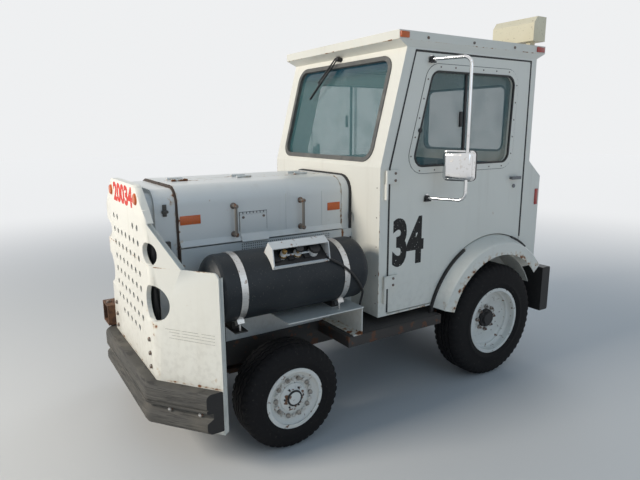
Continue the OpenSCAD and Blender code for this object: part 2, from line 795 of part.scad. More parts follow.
module cab_roof() {
    front_y = wall_top_y - roof_front;
    rear_y = cab_upper_y + roof_rear;
    half_w = cab_half_w + roof_side;
    low = cab_top_z + seat;
    eave = cab_top_z + roof_chamfer;
    color("#e9e5d8") {
        block([-half_w, front_y, eave], [half_w, rear_y, roof_top_z]);
        intersection() {
            side_slab(-half_w, half_w) polygon([[wall_top_y, low], [cab_upper_y, low],
                [rear_y, eave], [rear_y, eave + past], [front_y, eave + past], [front_y, eave]]);
            across(front_y - past, rear_y + past) polygon([[-cab_half_w, low], [cab_half_w, low],
                [half_w, eave], [half_w, eave + past], [-half_w, eave + past], [-half_w, eave]]);
        }
    }
}
// Lamp box with a sloping front, on two feet
module roof_lamp() {
    right_x = cab_half_w - 291;
    back_y = cab_upper_y + roof_rear - 42;
    low = roof_top_z + 24;
    color("#ddd6bd") {
        side_slab(right_x, right_x + lamp_w) polygon([[back_y - 118, low], [back_y, low],
            [back_y, low + lamp_h], [back_y - 88, low + lamp_h], [back_y - 118, low + lamp_h - 40]]);
        for (x = [right_x + 45, right_x + lamp_w - 75])
            block([x, back_y - 90, roof_top_z + seat], [x + 30, back_y - 40, low + past]);
    }
}
// Wiper from a spindle above the windscreen, with its arm and blade
wiper_turn = -118;
module wiper() {
    spindle = [-42, screen_slope - 20];
    color("#8c8f90") {
        on_screen(-40, -seat) translate(spindle) circle(r = 12);
        on_screen(-36, -29) translate(spindle) rotate(wiper_turn) translate([0, -6]) square([332, 12]);
        on_screen(-36, -14) translate(spindle) rotate(wiper_turn) translate([320, -6]) square([14, 12]);
        on_screen(-22, -9) translate(spindle) rotate(wiper_turn) translate([130, -4]) square([390, 8]);
    }
}

// Controls and seats

column_x = 290;
column_tilt = -35;
column_r = 12;
wheel_hub = [column_x, cab_front_y + 420, brow_z - 123];
dash_top_z = brow_z - 53;
module dashboard() {
    inner_x = cab_half_w - cab_wall - 6;
    wall_y = cab_front_y + cab_wall + seat;
    color("#2f3234") {
        side_slab(-inner_x, inner_x) polygon([[wall_y, dash_top_z - 280],
            [wall_y + 185, dash_top_z - 220], [wall_y + 165, dash_top_z - 100], [wall_y, dash_top_z]]);
        // Bracket that holds the steering column
        block([column_x - 40, wall_y + 165, dash_top_z - 260],
            [column_x + 40, wall_y + 295, dash_top_z - 210]);
        // Column and the shaft that carries the wheel
        translate(wheel_hub) rotate([column_tilt, 0, 0]) {
            translate([0, 0, -360]) cylinder(h = 330, r = 28);
            translate([0, 0, -31]) cylinder(h = 51, r = column_r);
        }
    }
}
module steering_wheel() {
    rim_r = 190;
    color("#1d1e20") translate(wheel_hub) rotate([column_tilt, 0, 0]) {
        rotate_extrude($fn = 72) translate([rim_r, 0]) circle(r = 13, $fn = 24);
        for (a = [90, 210, 330]) rotate([0, 0, a]) translate([20, -12, -5]) cube([rim_r - 30, 24, 8]);
        // Hub, bored from below for the shaft
        difference() {
            translate([0, 0, -25]) cylinder(h = 53, r = 40);
            translate([0, 0, -25 - past]) cylinder(h = 46 + past, r = column_r + fit);
        }
    }
}
seat_y = rear_axle_y - 75;
seat_z = cab_floor_z + seat_rise;
back_y = seat_y + 215;
back_lean = -8;
pan_t = 30;
module seat_frame() {
    base_w = pad_w - 90;
    base_l = pad_l + 55;
    back_plate_w = back_w - 110;
    color("#2b2c2e") for (x = [-seat_x, seat_x]) {
        // Boxed base, pan, and the plate behind the backrest
        block([x - base_w / 2, seat_y - base_l / 2, cab_floor_z + cab_wall + seat],
            [x + base_w / 2, seat_y + base_l / 2, seat_z - pan_t + past]);
        block([x - pad_w / 2 + 15, back_y - 435, seat_z - pan_t], [x + pad_w / 2 - 15, back_y + 25, seat_z]);
        translate([x, back_y, seat_z - 8]) rotate([back_lean, 0, 0])
            translate([-back_plate_w / 2, 0, 0]) cube([back_plate_w, 12, back_h - 140]);
    }
}
module seat_cushions() {
    color("#232427") for (x = [-seat_x, seat_x]) {
        block([x - pad_w / 2, back_y - 110 - pad_l, seat_z + seat],
            [x + pad_w / 2, back_y - 110, seat_z + pad_t]);
        translate([x, back_y - seat, seat_z - 8]) rotate([back_lean, 0, 0])
            translate([-back_w / 2, -back_t, 26]) cube([back_w, back_t, back_h]);
    }
}

// Fender section in (radius, distance out from the body)
module fender_section(wall) {
    out = lip_half_w - cab_half_w - seat;
    crease_r = lip_r + fender_face;
    polygon([[fender_root_r, 0], [crease_r, out - 12], [crease_r - 8, out - 3], [lip_r, out],
        [lip_r, out - wall], [crease_r - 9, out - wall - 3], [crease_r - wall, out - 12 - wall],
        [fender_root_r - wall * 1.4, 0]]);
}
fender_rear = 38;
fender_sweep = 125;
module fender_flares() {
    color("#e6e2d4") both_sides()
        translate([cab_half_w + seat, rear_axle_y, fender_centre_z]) rotate([0, 90, 0])
            rotate([0, 0, 90 + fender_rear]) rotate_extrude(angle = fender_sweep, $fn = 96)
                fender_section(4);
}

// Gas tank

// Strap stations from the tank's middle
STRAPS = [-317, 277];
strap_in = tank_r + seat;
strap_out = strap_in + strap_t;
module gas_tank() {
    dome = 78;
    head = [for (t = [0:10:90]) [tank_r * sin(t), dome * (1 - cos(t))]];
    color("#3b3f42") translate([tank_x, tank_mid_y - tank_length / 2, tank_z])
        rotate([-90, 0, 0]) rotate_extrude($fn = 96)
            polygon(concat(head, reversed([for (p = head) [p[0], tank_length - p[1]]])));
}
// Band round the tank with a lug and a bolt down to the shelf on each side
module tank_straps() {
    lug = 36;
    bolt_r = strap_out + 11;
    color("#a9abab") for (dy = STRAPS) translate([tank_x, tank_mid_y + dy, tank_z]) {
        rotate([90, 0, 0]) translate([0, 0, -strap_w / 2]) difference() {
            cylinder(h = strap_w, r = strap_out, $fn = 96);
            translate([0, 0, -past]) cylinder(h = strap_w + 2 * past, r = strap_in, $fn = 96);
        }
        both_sides() {
            rotate([0, 150, 0]) block([-lug / 2, -lug / 2, strap_in + strap_t / 2],
                [lug / 2, lug / 2, strap_out + 22]);
            translate([bolt_r * sin(150), 0, shelf_z + seat - tank_z])
                cylinder(h = tank_z - shelf_z - seat + bolt_r * cos(150), r = 6);
        }
    }
}
// Guard over the valves: section across the tank in (outwards, away from the axis)
guard_turn = 38;
module valve_box() {
    foot = tank_r - 22;
    wall = 5;
    back = -58;
    color("#c9c8c2") translate([tank_x, tank_mid_y + 10 - guard_length / 2, tank_z])
        rotate([0, guard_turn, 0]) difference() {
            union() {
                across(0, guard_length) polygon([[back, foot], [-back, foot], [-back, tank_r + wall],
                    [back + wall, tank_r + wall], [back + wall, tank_r + 60], [-6, tank_r + 66],
                    [-6, tank_r + 66 + wall], [back, tank_r + 60 + wall]]);
                for (y = [0, guard_length - wall]) across(y, y + wall)
                    polygon([[back, foot], [-back, foot], [-back, tank_r + 14], [24, tank_r + 46],
                        [-6, tank_r + 66 + wall], [back, tank_r + 60 + wall]]);
                // Filler valve, shut-off valve and gauge with the pipe between them
                for (part = [[0.22, 17, 40], [0.47, 20, 30], [0.76, 27, 34]])
                    translate([0, part[0] * guard_length, tank_r]) cylinder(h = part[2], r = part[1]);
                bar_y(0.22 * guard_length, 0.76 * guard_length, 0, tank_r + 16, 6, 24);
            }
            bar_y(-past, guard_length + past, 0, 0, tank_r + seat, 96);
        }
}
// Shelf with a rear leg down to the running board, cradles, and a front bracket from the rail
module tank_shelf() {
    plate = 6;
    inner_x = side_half_w + seat;
    outer_x = board_half_w + 10;
    front_y = tank_mid_y - 70;
    rear_y = board_front_y + 95;
    strap_front_y = tank_mid_y + STRAPS[0];
    color("#e2ded0") {
        block([inner_x, front_y, shelf_z - plate], [outer_x, rear_y, shelf_z]);
        block([inner_x, rear_y - plate, deck_z + seat], [board_half_w, rear_y, shelf_z]);
        block([inner_x, rear_y - 60, deck_z + seat], [board_half_w, rear_y, deck_z + seat + plate]);
        for (dy = STRAPS) translate([tank_x, tank_mid_y + dy, shelf_z]) difference() {
            block([-60, -22, -plate], [60, 22, 60]);
            translate([0, 0, tank_z - shelf_z]) bar_y(-22 - past, 22 + past, 0, 0, strap_out + seat, 96);
        }
        block([rail_half_w + seat, strap_front_y - 34, shelf_z - plate],
            [outer_x - 30, strap_front_y + 34, shelf_z]);
        block([rail_half_w + seat, strap_front_y - 34, deck_z - board_lip],
            [rail_half_w + seat + plate, strap_front_y + 34, shelf_z]);
    }
}

// Rear end

module rear_bumper() {
    color("#2b2a2a") side_slab(-rear_bumper_half_w, rear_bumper_half_w)
        translate([cab_lower_y + seat, rear_bumper_z])
            polygon(rounded([[0, 0, 0], [rear_bumper_depth, 0, 14],
                [rear_bumper_depth, rear_bumper_h, 14], [0, rear_bumper_h, 0]]));
}
hitch_z = rear_bumper_z + 58;
hitch_jaw = 24;
hitch_y = rear_end_y - 46;
module rear_hitch() {
    back_y = cab_lower_y + rear_bumper_depth + 2 * seat;
    color("#3d3a38") difference() {
        union() {
            block([-110, back_y, hitch_z - 30], [110, back_y + 16, hitch_z + hitch_gap + 2 * hitch_jaw + 46]);
            for (z = [hitch_z, hitch_z + hitch_jaw + hitch_gap]) {
                block([-45, back_y, z], [45, hitch_y, z + hitch_jaw]);
                translate([0, hitch_y, z]) cylinder(h = hitch_jaw, r = 46);
            }
        }
        translate([0, hitch_y, hitch_z - past])
            cylinder(h = hitch_gap + 2 * hitch_jaw + 2 * past, d = hitch_bore);
    }
}

// Axles

spring_x = rail_half_w - frame_plate - 43;
spring_half_w = 30;
spring_half_l = 330;
leaf_t = 9;
// Four leaves on a seat at height z, and blocks at the ends up to the deck
module leaf_spring(y, z) {
    for (leaf = [0:3]) let (half = spring_half_l - leaf * 60)
        block([spring_x - spring_half_w, y - half, z + (3 - leaf) * leaf_t],
            [spring_x + spring_half_w, y + half, z + (4 - leaf) * leaf_t]);
    for (end = [-spring_half_l, spring_half_l - 40])
        block([spring_x - spring_half_w, y + end, z + 3 * leaf_t],
            [spring_x + spring_half_w, y + end + 40, deck_z - frame_plate - seat]);
}
beam = 35;
boss_r = 34;
pin_r = 18;
module front_axle() {
    color("#2e2c2b") translate([0, 0, front_tyre_r]) {
        difference() {
            union() {
                block([-kingpin_x, front_axle_y - beam, -beam], [kingpin_x, front_axle_y + beam, beam]);
                for (x = [-kingpin_x, kingpin_x]) translate([x, front_axle_y, -beam - 5])
                    cylinder(h = 2 * beam + 10, r = boss_r);
            }
            for (x = [-kingpin_x, kingpin_x]) translate([x, front_axle_y, -beam - 5 - past])
                cylinder(h = 2 * beam + 10 + 2 * past, r = pin_r + fit);
        }
    }
    color("#2e2c2b") both_sides() leaf_spring(front_axle_y, front_tyre_r + beam);
}
steer_arm = 145;
arm_z = front_tyre_r - 60;
tie_pin_r = 8;
spindle_r = 24;
spindle_end = 40;
module knuckle() {
    fork = 19;
    fork_z = beam + 5 + past;
    web_x = kingpin_x + boss_r + 6;
    color("#36322f") translate([0, front_axle_y, front_tyre_r]) {
        // Kingpin held by a fork round the axle's end
        translate([kingpin_x, 0, -fork_z - fork]) cylinder(h = 2 * (fork_z + fork), r = pin_r);
        for (z = [-fork_z - fork, fork_z]) {
            translate([kingpin_x, 0, z]) cylinder(h = fork, r = 30);
            block([kingpin_x, -30, z], [web_x + 14, 30, z + fork]);
        }
        block([web_x, -30, -fork_z - fork], [web_x + 14, 30, fork_z + fork]);
        bar_x(web_x + 14 - past, front_track_half + spindle_end, 0, 0, spindle_r);
    }
    // Steering arm with the tie rod's pin
    color("#36322f") {
        block([kingpin_x - 15, front_axle_y, arm_z], [kingpin_x + 15, front_axle_y + steer_arm, arm_z + 14]);
        translate([kingpin_x, front_axle_y + steer_arm, arm_z - 40]) cylinder(h = 54, r = tie_pin_r);
        translate([kingpin_x, front_axle_y + steer_arm, arm_z]) cylinder(h = 14, r = 15);
    }
}
module knuckle_left() { knuckle(); }
module knuckle_right() { mirror([1, 0, 0]) knuckle(); }
// The rod's right eye has room to slip where the linkage is open
module tie_rod() {
    slack = 1.5;
    color("#4b4744") translate([0, front_axle_y + steer_arm, arm_z - 18]) difference() {
        union() {
            bar_x(-kingpin_x, kingpin_x, 0, 0, 11);
            for (x = [-kingpin_x, kingpin_x]) translate([x, 0, -14]) cylinder(h = 28, r = 17);
        }
        translate([kingpin_x, 0, -14 - past]) cylinder(h = 28 + 2 * past, r = tie_pin_r + fit);
        translate([-kingpin_x, 0, -14 - past]) cylinder(h = 28 + 2 * past, r = tie_pin_r + slack);
    }
}
shaft_r = 30;
module rear_axle() {
    z = rear_tyre_r;
    drum_in = rear_track_half - 150;
    drum_out = rear_track_half - 120;
    // Half section of the housing: radius, distance from the middle
    housing = [[0, rear_track_half], [shaft_r, rear_track_half], [shaft_r, drum_out],
        [130, drum_out], [130, drum_in], [axle_tube_r, drum_in], [axle_tube_r, 150], [118, 70]];
    color("#2e2c2b") {
        translate([0, rear_axle_y, z]) rotate([0, 90, 0]) rotate_extrude($fn = 72)
            polygon(concat(housing, reversed([for (p = housing) [p[0], -p[1]]])));
        both_sides() {
            block([spring_x - spring_half_w, rear_axle_y - 50, z],
                [spring_x + spring_half_w, rear_axle_y + 50, z + 56]);
            leaf_spring(rear_axle_y, z + 52);
        }
    }
}

// Wheels, drawn about the Z axis with +Z outwards

front_bead_w = 190;
rear_bead_w = 186;
module tyre_form(outer_r, width, flange_r, bead_w) {
    shoulder = 42;
    bead_r = flange_r - 15;
    wall_r = outer_r - shoulder;
    color("#1c1c1d") rotate_extrude($fn = 96) {
        translate([bead_r, -bead_w / 2]) square([flange_r + 3 - bead_r, bead_w]);
        polygon([[flange_r + 1, -bead_w / 2 - 4], [flange_r + 12, -width / 2], [wall_r, -width / 2],
            [wall_r, width / 2], [flange_r + 12, width / 2], [flange_r + 1, bead_w / 2 + 4]]);
        translate([wall_r - past, -width / 2 + shoulder])
            square([shoulder + past, width - 2 * shoulder]);
        for (side = [-1, 1]) translate([wall_r, side * (width / 2 - shoulder)])
            circle(r = shoulder, $fn = 48);
    }
}
// Barrel of a rim between its flanges
module rim_barrel(flange_r, bead_w) {
    wall = 5;
    bead_r = flange_r - 15 - seat;
    end = bead_w / 2;
    polygon([[bead_r - wall, -end - wall], [flange_r, -end - wall], [flange_r, -end], [bead_r, -end],
        [bead_r, end], [flange_r, end], [flange_r, end + wall], [bead_r - wall, end + wall]]);
}
// Ring of wheel nuts
module nuts(count, ring_r, z, size) {
    for (i = [0:count - 1]) rotate([0, 0, i * 360 / count]) translate([ring_r, 0, z])
        cylinder(h = 15, d = size, $fn = 6);
}
module front_rim() {
    edge = front_flange_r - 19;
    face = front_bead_w / 2 - 23;
    bore = spindle_r + fit;
    cap = front_bead_w / 2 + 4;
    color("#e9e6da") translate([front_track_half, front_axle_y, front_tyre_r]) rotate([0, 90, 0]) {
        rotate_extrude($fn = 96) {
            rim_barrel(front_flange_r, front_bead_w);
            // Shallow dish, stepped hub and cap
            polygon([[0, cap], [33, cap], [36, cap - 3], [36, cap - 6], [44, cap - 6], [47, cap - 12],
                [66, face + 9], [76, face + 6], [80, face], [120, face], [131, face + 5], [140, face + 12],
                [edge, face + 20], [edge, face + 12], [134, face - 1], [120, face - 6], [52, face - 6],
                [48, face - 12], [48, -20], [bore, -20], [bore, spindle_end + 4],
                [0, spindle_end + 4]]);
        }
        nuts(10, 104, face - past, 23);
    }
}
module rear_rim() {
    edge = rear_flange_r - 19;
    face = 17;
    bore = shaft_r + fit;
    color("#e9e6da") translate([rear_track_half, rear_axle_y, rear_tyre_r]) rotate([0, 90, 0]) {
        rotate_extrude($fn = 96) {
            rim_barrel(rear_flange_r, rear_bead_w);
            // Deep dish with a step near the barrel, and a raised hub
            polygon([[0, face + 22], [38, face + 22], [42, face + 18], [60, face + 16], [63, face],
                [168, face], [180, face + 4], [187, face + 12], [189, face + 23], [198, face + 28],
                [204, face + 38], [edge, face + 48], [edge, face + 36], [202, face + 26],
                [194, face + 18], [184, face + 4], [170, face - 7], [60, face - 7], [52, face - 13],
                [52, -50], [bore, -50], [bore, 2], [0, 2]]);
        }
        nuts(8, 81, face - past, 25);
    }
}
module front_tyre() {
    translate([front_track_half, front_axle_y, front_tyre_r]) rotate([0, 90, 0])
        tyre_form(front_tyre_r, front_tyre_w, front_flange_r, front_bead_w);
}
module rear_tyre() {
    translate([rear_track_half, rear_axle_y, rear_tyre_r]) rotate([0, 90, 0])
        tyre_form(rear_tyre_r, rear_tyre_w, rear_flange_r, rear_bead_w);
}
module front_rim_left() { front_rim(); }
module front_rim_right() { mirror([1, 0, 0]) front_rim(); }
module front_tyre_left() { front_tyre(); }
module front_tyre_right() { mirror([1, 0, 0]) front_tyre(); }
module rear_rim_left() { rear_rim(); }
module rear_rim_right() { mirror([1, 0, 0]) rear_rim(); }
module rear_tyre_left() { rear_tyre(); }
module rear_tyre_right() { mirror([1, 0, 0]) rear_tyre(); }

// Doors

hinge_x = cab_half_w + 14;
hinge_y = door_front_y - 36;
hinge_h = 76;
hinge_pin_r = 5;
hinge_barrel_r = 9;
// Height of each hinge's middle
HINGES = [window_low_z - 49, door_bottom_z + 192];
// The cab's half of a hinge: a barrel on the pillar and the pin that stands up from it
module hinge_post(z) {
    barrel_h = 88;
    low = z - hinge_h / 2 - seat - barrel_h;
    translate([hinge_x, hinge_y, low]) cylinder(h = barrel_h, r = hinge_barrel_r);
    translate([hinge_x, hinge_y, low]) cylinder(h = barrel_h + hinge_h, r = hinge_pin_r);
    block([cab_half_w - past, hinge_y - hinge_barrel_r, low], [hinge_x, hinge_y, low + barrel_h]);
}
// The door's half: a leaf with a pad on the door and a bored barrel
module hinge_leaf(z) {
    translate([0, 0, z - hinge_h / 2]) difference() {
        union() {
            block([hinge_x - 2.5, hinge_y, 0], [hinge_x + 2.5, hinge_y + 92, hinge_h]);
            block([cab_half_w - past, door_front_y + 2, 0], [hinge_x, door_front_y + 56, hinge_h]);
            translate([hinge_x, hinge_y, 0]) cylinder(h = hinge_h, r = hinge_barrel_r);
        }
        translate([hinge_x, hinge_y, -past]) cylinder(h = hinge_h + 2 * past, r = hinge_pin_r + fit);
    }
}
module door() {
    handle_z = window_low_z - 109;
    color("#e6e2d4") {
        side_slab(cab_half_w - cab_wall, cab_half_w) difference() {
            door_outline();
            door_window_outline();
        }
        // Riveted frame round the window
        side_slab(cab_half_w - past, cab_half_w + 3) difference() {
            door_window_outline(-40);
            door_window_outline();
        }
        for (z = HINGES) hinge_leaf(z);
    }
    // Pull handle on two feet, and the lock below it
    color("#a4a6a6") {
        for (y = [door_rear_y - 128, door_rear_y - 62])
            bar_x(cab_half_w - past, cab_half_w + 24, y, handle_z, 9, 24);
        block([cab_half_w + 20, door_rear_y - 140, handle_z - 10],
            [cab_half_w + 30, door_rear_y - 50, handle_z + 10]);
        bar_x(cab_half_w - past, cab_half_w + 8, door_rear_y - 92, handle_z - 55, 13, 24);
    }
}
module door_left() { door(); }
module door_right() { mirror([1, 0, 0]) door(); }
// Two sliding panes that overlap at the middle
module door_glass() {
    mid_y = (window_front_y + window_rear_y) / 2 + 40;
    color("#a8bfc2") for (pane = [[16, -1], [24, 1]])
        side_slab(cab_half_w - pane[0] - glass_t, cab_half_w - pane[0]) intersection() {
            door_window_outline(seat);
            translate([mid_y - 14 - (pane[1] < 0 ? 600 : 0), window_low_z])
                square([628 - (pane[1] < 0 ? 0 : 28), window_high_z - window_low_z]);
        }
}
module door_glass_left() { door_glass(); }
module door_glass_right() { mirror([1, 0, 0]) door_glass(); }
// Mirror on a loop of tube held to the door at both ends
mirror_turn = 22;
head_turn = 25;
module mirror_set() {
    low_z = window_low_z - 187;
    high_z = low_z + mirror_span;
    bend = 45;
    tube_r = 9.5;
    head_z = low_z + 196;
    translate([cab_half_w + seat, front_axle_y + 965, 0]) {
        color("#b9bbbc") for (z = [low_z, high_z]) bar_x(0, 8, 0, z, 22);
        color("#b9bbbc") rotate([0, 0, mirror_turn]) {
            for (z = [low_z, high_z]) bar_x(4, mirror_reach - bend, 0, z, tube_r, 24);
            translate([mirror_reach, 0, low_z + bend])
                cylinder(h = mirror_span - 2 * bend, r = tube_r, $fn = 24);
            translate([mirror_reach - bend, 0, low_z + bend]) rotate([90, 0, 0])
                rotate([0, 0, -90]) rotate_extrude(angle = 90)
                    translate([bend, 0]) circle(tube_r, $fn = 24);
            translate([mirror_reach - bend, 0, high_z - bend]) rotate([90, 0, 0])
                rotate_extrude(angle = 90) translate([bend, 0]) circle(tube_r, $fn = 24);
        }
        // Head with a pyramid-shaped back, beside the upright
        color("#c6c9ca") translate([mirror_reach * cos(mirror_turn), mirror_reach * sin(mirror_turn),
            head_z]) rotate([0, 0, head_turn]) translate([-52, 24, 0]) hull() {
                across(0, 22) round_rect(-mirror_head_w / 2, -mirror_head_h / 2,
                    mirror_head_w / 2, mirror_head_h / 2, 24);
                across(-30, 0) round_rect(-26, -22, 26, 22, 8);
            }
    }
}
module mirror_left() { mirror_set(); }
module mirror_right() { mirror([1, 0, 0]) mirror_set(); }

frame();
nose_plate();
front_bumper();
tow_tube();
radiator_cowl();
radiator();
hood_frame();
engine_block();
cover_left();
cover_right();
cab_shell();
cab_roof();
cab_glass();
window_gaskets();
wiper();
dashboard();
steering_wheel();
seat_frame();
seat_cushions();
fender_flares();
gas_tank();
tank_straps();
valve_box();
tank_shelf();
rear_bumper();
rear_hitch();
front_axle();
rear_axle();
roof_lamp();
door_left();
door_right();
door_glass_left();
door_glass_right();
mirror_left();
mirror_right();
knuckle_left();
knuckle_right();
tie_rod();
front_rim_left();
front_rim_right();
front_tyre_left();
front_tyre_right();
rear_rim_left();
rear_rim_right();
rear_tyre_left();
rear_tyre_right();
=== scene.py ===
import math

import bmesh
import bpy
from mathutils import Matrix, Vector


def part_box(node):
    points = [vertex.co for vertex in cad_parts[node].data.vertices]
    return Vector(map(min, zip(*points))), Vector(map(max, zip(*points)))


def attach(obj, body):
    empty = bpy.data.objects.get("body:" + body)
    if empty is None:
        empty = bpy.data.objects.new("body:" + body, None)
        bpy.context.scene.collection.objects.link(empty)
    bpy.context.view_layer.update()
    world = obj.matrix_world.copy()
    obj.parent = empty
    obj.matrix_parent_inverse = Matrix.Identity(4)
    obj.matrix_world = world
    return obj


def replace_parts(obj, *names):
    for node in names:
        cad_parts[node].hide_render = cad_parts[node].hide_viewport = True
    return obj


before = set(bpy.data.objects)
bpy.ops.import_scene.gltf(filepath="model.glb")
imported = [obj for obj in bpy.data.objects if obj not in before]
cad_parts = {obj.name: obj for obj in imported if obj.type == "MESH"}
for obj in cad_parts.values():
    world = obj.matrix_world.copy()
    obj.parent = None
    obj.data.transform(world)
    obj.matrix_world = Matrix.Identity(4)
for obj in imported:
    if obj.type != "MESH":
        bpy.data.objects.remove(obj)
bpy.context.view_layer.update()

# Camera
# Eye height, off the front left corner of the tug, with a short lens. Its place and turn are
# from a fit to the outlines of cab, nose and wheels.
camera = bpy.data.objects.new("camera", bpy.data.cameras.new("camera"))
camera.data.lens, camera.data.sensor_width = 30.25, 36
across, up = Vector((0.54161, 0.84062, -0.00395)), Vector((-0.17086, 0.11469, 0.97860))
turn = Matrix((across, up, across.cross(up))).transposed().to_4x4()
camera.matrix_world = Matrix.Translation((2.9391, -2.0569, 1.6773)) @ turn
bpy.context.collection.objects.link(camera)
bpy.context.scene.camera = camera
bpy.context.scene.view_settings.view_transform = "Standard"


# Nose plate
# Folded 8 mm steel in white enamel, drilled for cooling air, its edges chipped and rusting.
# It bolts to the ends of the rails with three bolts on each side.
class Value:
    """A value at a socket of a finish. Sums on it add the nodes that work them out."""

    def __init__(self, finish, socket):
        self.finish, self.socket = finish, socket

    def sum(self, operation, first, second=0.0):
        return self.finish.node("ShaderNodeMath", {"operation": operation}, {0: first, 1: second})

    def __add__(self, other): return self.sum("ADD", self, other)
    def __radd__(self, other): return self.sum("ADD", other, self)
    def __sub__(self, other): return self.sum("SUBTRACT", self, other)
    def __rsub__(self, other): return self.sum("SUBTRACT", other, self)
    def __mul__(self, other): return self.sum("MULTIPLY", self, other)
    def __rmul__(self, other): return self.sum("MULTIPLY", other, self)
    def __or__(self, other): return self.sum("MAXIMUM", self, other)
    def __abs__(self): return self.sum("ABSOLUTE", self)

    def step(self, low, high):
        """Zero below low, one above high, and smooth between them"""
        return self.finish.node("ShaderNodeMapRange", {"interpolation_type": "SMOOTHSTEP"},
                                {0: self, 1: low, 2: high, 3: 0.0, 4: 1.0})

    def near(self, place, width):
        """One at a place, down to zero at a width from it"""
        return 1 - abs(self - place).step(0.0, width)


class Finish:
    """A finish of the tug: its material, and what varies over the surface."""

    def __init__(self, name, colour, rough=0.5, **fixed):
        self.material = bpy.data.materials.new(name)
        self.material.use_nodes = True
        self.tree = self.material.node_tree
        self.shader = self.tree.nodes["Principled BSDF"]
        for socket, value in fixed.items():
            self.shader.inputs[socket.replace("_", " ")].default_value = value
        self.place = self.node("ShaderNodeTexCoord", {}, {}, "Object")
        parts = self.node("ShaderNodeSeparateXYZ", {}, {0: self.place})
        self.x, self.y, self.z = parts, self.pick(parts, 1), self.pick(parts, 2)
        self.colour, self.rough, self.height = (*colour, 1), rough, None

    def node(self, kind, settings, sockets, out=0):
        """Adds a node with its settings and the values or links of its sockets, and gives an output"""
        made = self.tree.nodes.new(kind)
        for name, setting in settings.items():
            setattr(made, name, setting)
        for name, value in sockets.items():
            if isinstance(value, Value):
                self.tree.links.new(value.socket, made.inputs[name])
            else:
                made.inputs[name].default_value = value
        return Value(self, made.outputs[out])

    def pick(self, value, out):
        """Another output of the node that a value comes from"""
        return Value(self, value.socket.node.outputs[out])

    def noise(self, scale, detail=3.0, stretch=(1, 1, 1), kind="Noise", out=0):
        """A cloudy pattern over the piece, or one of cells where the kind is Voronoi"""
        where = self.node("ShaderNodeMapping", {}, {"Vector": self.place, "Scale": stretch})
        sockets = {"Vector": where, "Scale": scale}
        if kind == "Noise":
            sockets["Detail"] = detail
        return self.node("ShaderNodeTex" + kind, {}, sockets, out)

    def over(self, mask, colour, rough=None):
        """Lays a colour, and with it a roughness, where the mask is one"""
        self.colour = self.node("ShaderNodeMix", {"data_type": "RGBA"},
                                {0: mask, 6: self.colour, 7: (*colour, 1)}, 2)
        if rough is not None:
            self.rough = mask * (rough - self.rough) + self.rough

    def done(self, relief=0.3, metal=None, alpha=None, depth=0.001):
        """Joins the finish to its shader, and gives its material"""
        ends = {"Base Color": self.colour, "Roughness": self.rough, "Metallic": metal, "Alpha": alpha}
        if self.height is not None:
            ends["Normal"] = self.node("ShaderNodeBump", {}, {
                "Strength": relief, "Distance": depth, "Height": self.height})
        for name, value in ends.items():
            if isinstance(value, Value):
                self.tree.links.new(value.socket, self.shader.inputs[name])
            elif value is not None:
                self.shader.inputs[name].default_value = value
        return self.material


def enamel(name, seams=(), stains=(), wear=0.70, tone=(0.75, 0.73, 0.655), gloss=0.36, parts=()):
    """White enamel. It rusts along seams, {axis: (place, width)}, and at stains, (x, y, z, radius).
    Parts in another colour are given by ranges, {axis: (low, high)}, and the colour."""
    paint = Finish(name, tone, gloss, Specular_IOR_Level=0.45)
    cloud, grain = paint.noise(1.7, 4), paint.noise(34, 5)
    runs = paint.noise(13, 4, (1, 1, 0.09))
    paint.over(cloud.step(0.42, 0.75) * 0.35, [c * 0.86 for c in tone], gloss + 0.12)
    paint.over(runs.step(0.56, 0.80) * 0.2, (0.48, 0.43, 0.34), gloss + 0.2)
    paint.over((1.2 - paint.z).step(0.2, 1.05) * grain.step(0.42, 0.7) * 0.4, (0.40, 0.37, 0.31))

    def reach(axis):
        """The place along y or z, and the distance from the tug's middle for x"""
        return abs(paint.x) if axis == "x" else getattr(paint, axis)

    weak = []
    for seam in seams:
        one = 1.0
        for axis, (place, width) in seam.items():
            one = reach(axis).near(place, width) * one
        weak.append(one)
    for x, y, z, radius in stains:
        gap = paint.node("ShaderNodeVectorMath", {"operation": "DISTANCE"}, {0: paint.place, 1: (x, y, z)}, 1)
        weak.append(1 - gap.step(0.0, radius))
    rust = grain * 0.55 + paint.noise(7.5, 4) * 0.45
    if weak:
        edge = weak[0]
        for one in weak[1:]:
            edge = edge | one
        rust = rust + edge * 0.15
        paint.over((rust + edge * 0.04).step(wear - 0.05, wear + 0.05) * 0.5, (0.52, 0.36, 0.20), 0.6)
    bare = rust.step(wear, wear + 0.045)
    paint.over(bare, (0.20, 0.075, 0.028), 0.85)
    for ranges, colour in parts:
        inside = 1.0
        for axis, (low, high) in ranges.items():
            at = reach(axis)
            inside = at.step(low - 0.001, low) * (1 - at.step(high, high + 0.001)) * inside
        paint.over(inside, colour, 0.5)
    paint.height = paint.noise(520, 2) * 0.12 + cloud * 0.3 - bare * 0.9
    return paint.done(0.35)


def dress(material, *nodes):
    """Gives solids of the frame their finish"""
    for name in nodes:
        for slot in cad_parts[name].material_slots:
            slot.material = material


def piece(name, shape, material, body, smooth=40):
    """Makes a mesh a piece of the tug that rides on a body"""
    mesh = bpy.data.meshes.new(name)
    bmesh.ops.recalc_face_normals(shape, faces=shape.faces)
    shape.to_mesh(mesh)
    shape.free()
    mesh.materials.append(material)
    mesh.polygons.foreach_set("use_smooth", [True] * len(mesh.polygons))
    mesh.set_sharp_from_angle(angle=math.radians(smooth))
    made = bpy.data.objects.new(name, mesh)
    bpy.context.collection.objects.link(made)
    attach(made, body)
    return made


def facing(place, direction):
    """A frame at a place with its Z along a direction"""
    turn = Vector((0, 0, 1)).rotation_difference(Vector(direction)).to_matrix().to_4x4()
    return Matrix.Translation(place) @ turn


